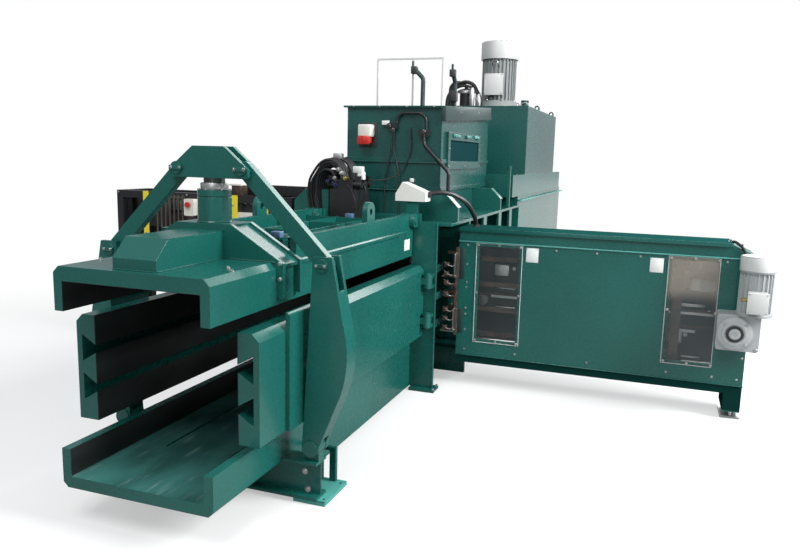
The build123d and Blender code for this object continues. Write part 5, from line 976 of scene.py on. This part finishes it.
bars = [
    block(steel, (width, 0.012, 0.022), (x, 2.200, z), 0.004) for x, z, width in (
        (2.219, 0.520, 0.135), (2.270, 0.336, 0.130), (2.235, 0.700, 0.20), (0.970, 0.714, 0.135), (0.970, 0.560, 0.15),
    )
]
bars += [
    block(beige, (0.34, 0.006, 0.225), (2.245, 2.2745, 0.9125), 0.001),
    block(cream, (0.166, 0.008, 0.010), (2.235, 2.268, 0.922)),
    block(pale_blue, (0.090, 0.050, 0.068), (2.338, 2.205, 0.839), 0.006),
    moved(drum(cream, 0.012, 0.016, sides=16), (2.243, 2.258, 0.830), FRONT),
    moved(drum(cream, 0.011, 0.016, sides=16), (2.362, 2.195, 0.665), FRONT),
]
bars += [block(cream, (0.022, 0.008, 0.050), (x, 2.267, 0.968)) for x in (2.170, 2.225, 2.285)]
finished(bars, "cabinet_cross_bars")

# Twister unit: fitting on its top, and screws

top_fitting = [
    block(rust, (0.090, 0.10, 0.075), (-1.215, 2.08, 1.3475), 0.004),
    block(cream, (0.110, 0.11, 0.014), (-1.225, 2.08, 1.392), 0.004),
]
finished(top_fitting, "twister_top_fitting")

screw_spots = [(x, z) for x in (-2.35, -2.0, -1.66, -1.30, -0.95) for z in (0.95, 1.295)]
screw_spots += [(-2.07, 0.96), (-2.07, 1.23), (-1.22, 1.08), (-1.22, 1.23)]
bolts("twister_screws", 0.006, in_front(1.992, screw_spots))

# Floor: a pale floor that takes the part's shadow and goes over into plain white farther out

SHADOW_CENTRE, SHADOW_NEAR, SHADOW_END = (0.6, 1.5, 0), 3.6, 6.0
GLOW_NEAR = 0.45
FAR_START, FAR_END = 7.0, 10.0

bpy.ops.mesh.primitive_plane_add(size=120, location=ORIGIN)
floor = bpy.context.object
floor.name = "studio_floor"
floor_paint, tree, shader, place = new_material("studio_floor_white")
shader.inputs["Base Color"].default_value = (0.90, 0.91, 0.91, 1)
shader.inputs["Roughness"].default_value = 0.9
distance = tree.nodes.new("ShaderNodeVectorMath")
distance.operation = "DISTANCE"
distance.inputs[1].default_value = SHADOW_CENTRE
tree.links.new(place.outputs["Object"], distance.inputs[0])
glow = tree.nodes.new("ShaderNodeEmission").outputs["Emission"]
whiter = spread(tree, distance.outputs["Value"], GLOW_NEAR, 1.0, SHADOW_NEAR, SHADOW_END)
seen_floor = mixed_shader(tree, whiter, shader.outputs["BSDF"], glow)
reflected = tree.nodes.new("ShaderNodeBsdfDiffuse")
reflected.inputs["Color"].default_value = (0.34, 0.35, 0.35, 1)
far = spread(tree, axes(tree, place)[1], 0.0, 1.0, FAR_START, FAR_END)
reflected_floor = mixed_shader(tree, far, reflected.outputs["BSDF"], glow)
camera_ray = tree.nodes.new("ShaderNodeLightPath").outputs["Is Camera Ray"]
surface = mixed_shader(tree, camera_ray, reflected_floor, seen_floor)
tree.links.new(surface, tree.nodes["Material Output"].inputs["Surface"])
floor.data.materials.append(floor_paint)

# World: white to the camera, a soft hall to the part, a little brighter behind it on the right

HALL, HALL_WINDOW = 0.42, 0.12

world = bpy.data.worlds.new("studio")
bpy.context.scene.world = world
world.use_nodes = True
tree = world.node_tree
sky = tree.nodes["Background"]
sky.inputs["Color"].default_value = (0.93, 0.96, 1.0, 1)
x, y, _ = axes(tree, tree.nodes.new("ShaderNodeTexCoord"))
to_the_right = spread(tree, x, 0.0, 1.0, start=0.02, end=0.16)
behind = spread(tree, y, 0.0, 1.0, start=0.75, end=0.95)
window = computed(tree, "MULTIPLY", to_the_right, behind)
tree.links.new(computed(tree, "MULTIPLY_ADD", window, HALL_WINDOW, HALL), sky.inputs["Strength"])
backdrop = tree.nodes.new("ShaderNodeBackground")
backdrop.inputs["Color"].default_value = (1, 1, 1, 1)
backdrop.inputs["Strength"].default_value = 1.0
camera_ray = tree.nodes.new("ShaderNodeLightPath").outputs["Is Camera Ray"]
surface = mixed_shader(tree, camera_ray, sky.outputs["Background"], backdrop.outputs["Background"])
tree.links.new(surface, tree.nodes["World Output"].inputs["Surface"])


# Lamps

def lamp(name, place, target, width, height, power):
    """A soft area lamp turned to its target."""
    bpy.ops.object.light_add(type="AREA", location=place)
    light = bpy.context.object
    light.name = name
    light.data.shape = "RECTANGLE"
    light.data.size = width
    light.data.size_y = height
    light.data.energy = power
    light.rotation_euler = (Vector(target) - Vector(place)).to_track_quat("-Z", "Y").to_euler()


lamp("key_from_the_right", (7.5, 1.0, 5.0), (0.3, 1.0, 0.8), 3.5, 3.5, 1000)
lamp("bright_hall_behind", (0.5, 11.0, 5.5), (0.0, 1.0, 0.8), 9.0, 5.0, 620)
lamp("roof_light", (0.0, -4.5, 8.0), (0.0, 0.5, 1.0), 4.0, 4.0, 420)
lamp("fill_from_the_front", (1.5, -7.5, 3.5), (0.0, 0.0, 0.8), 4.0, 4.0, 60)
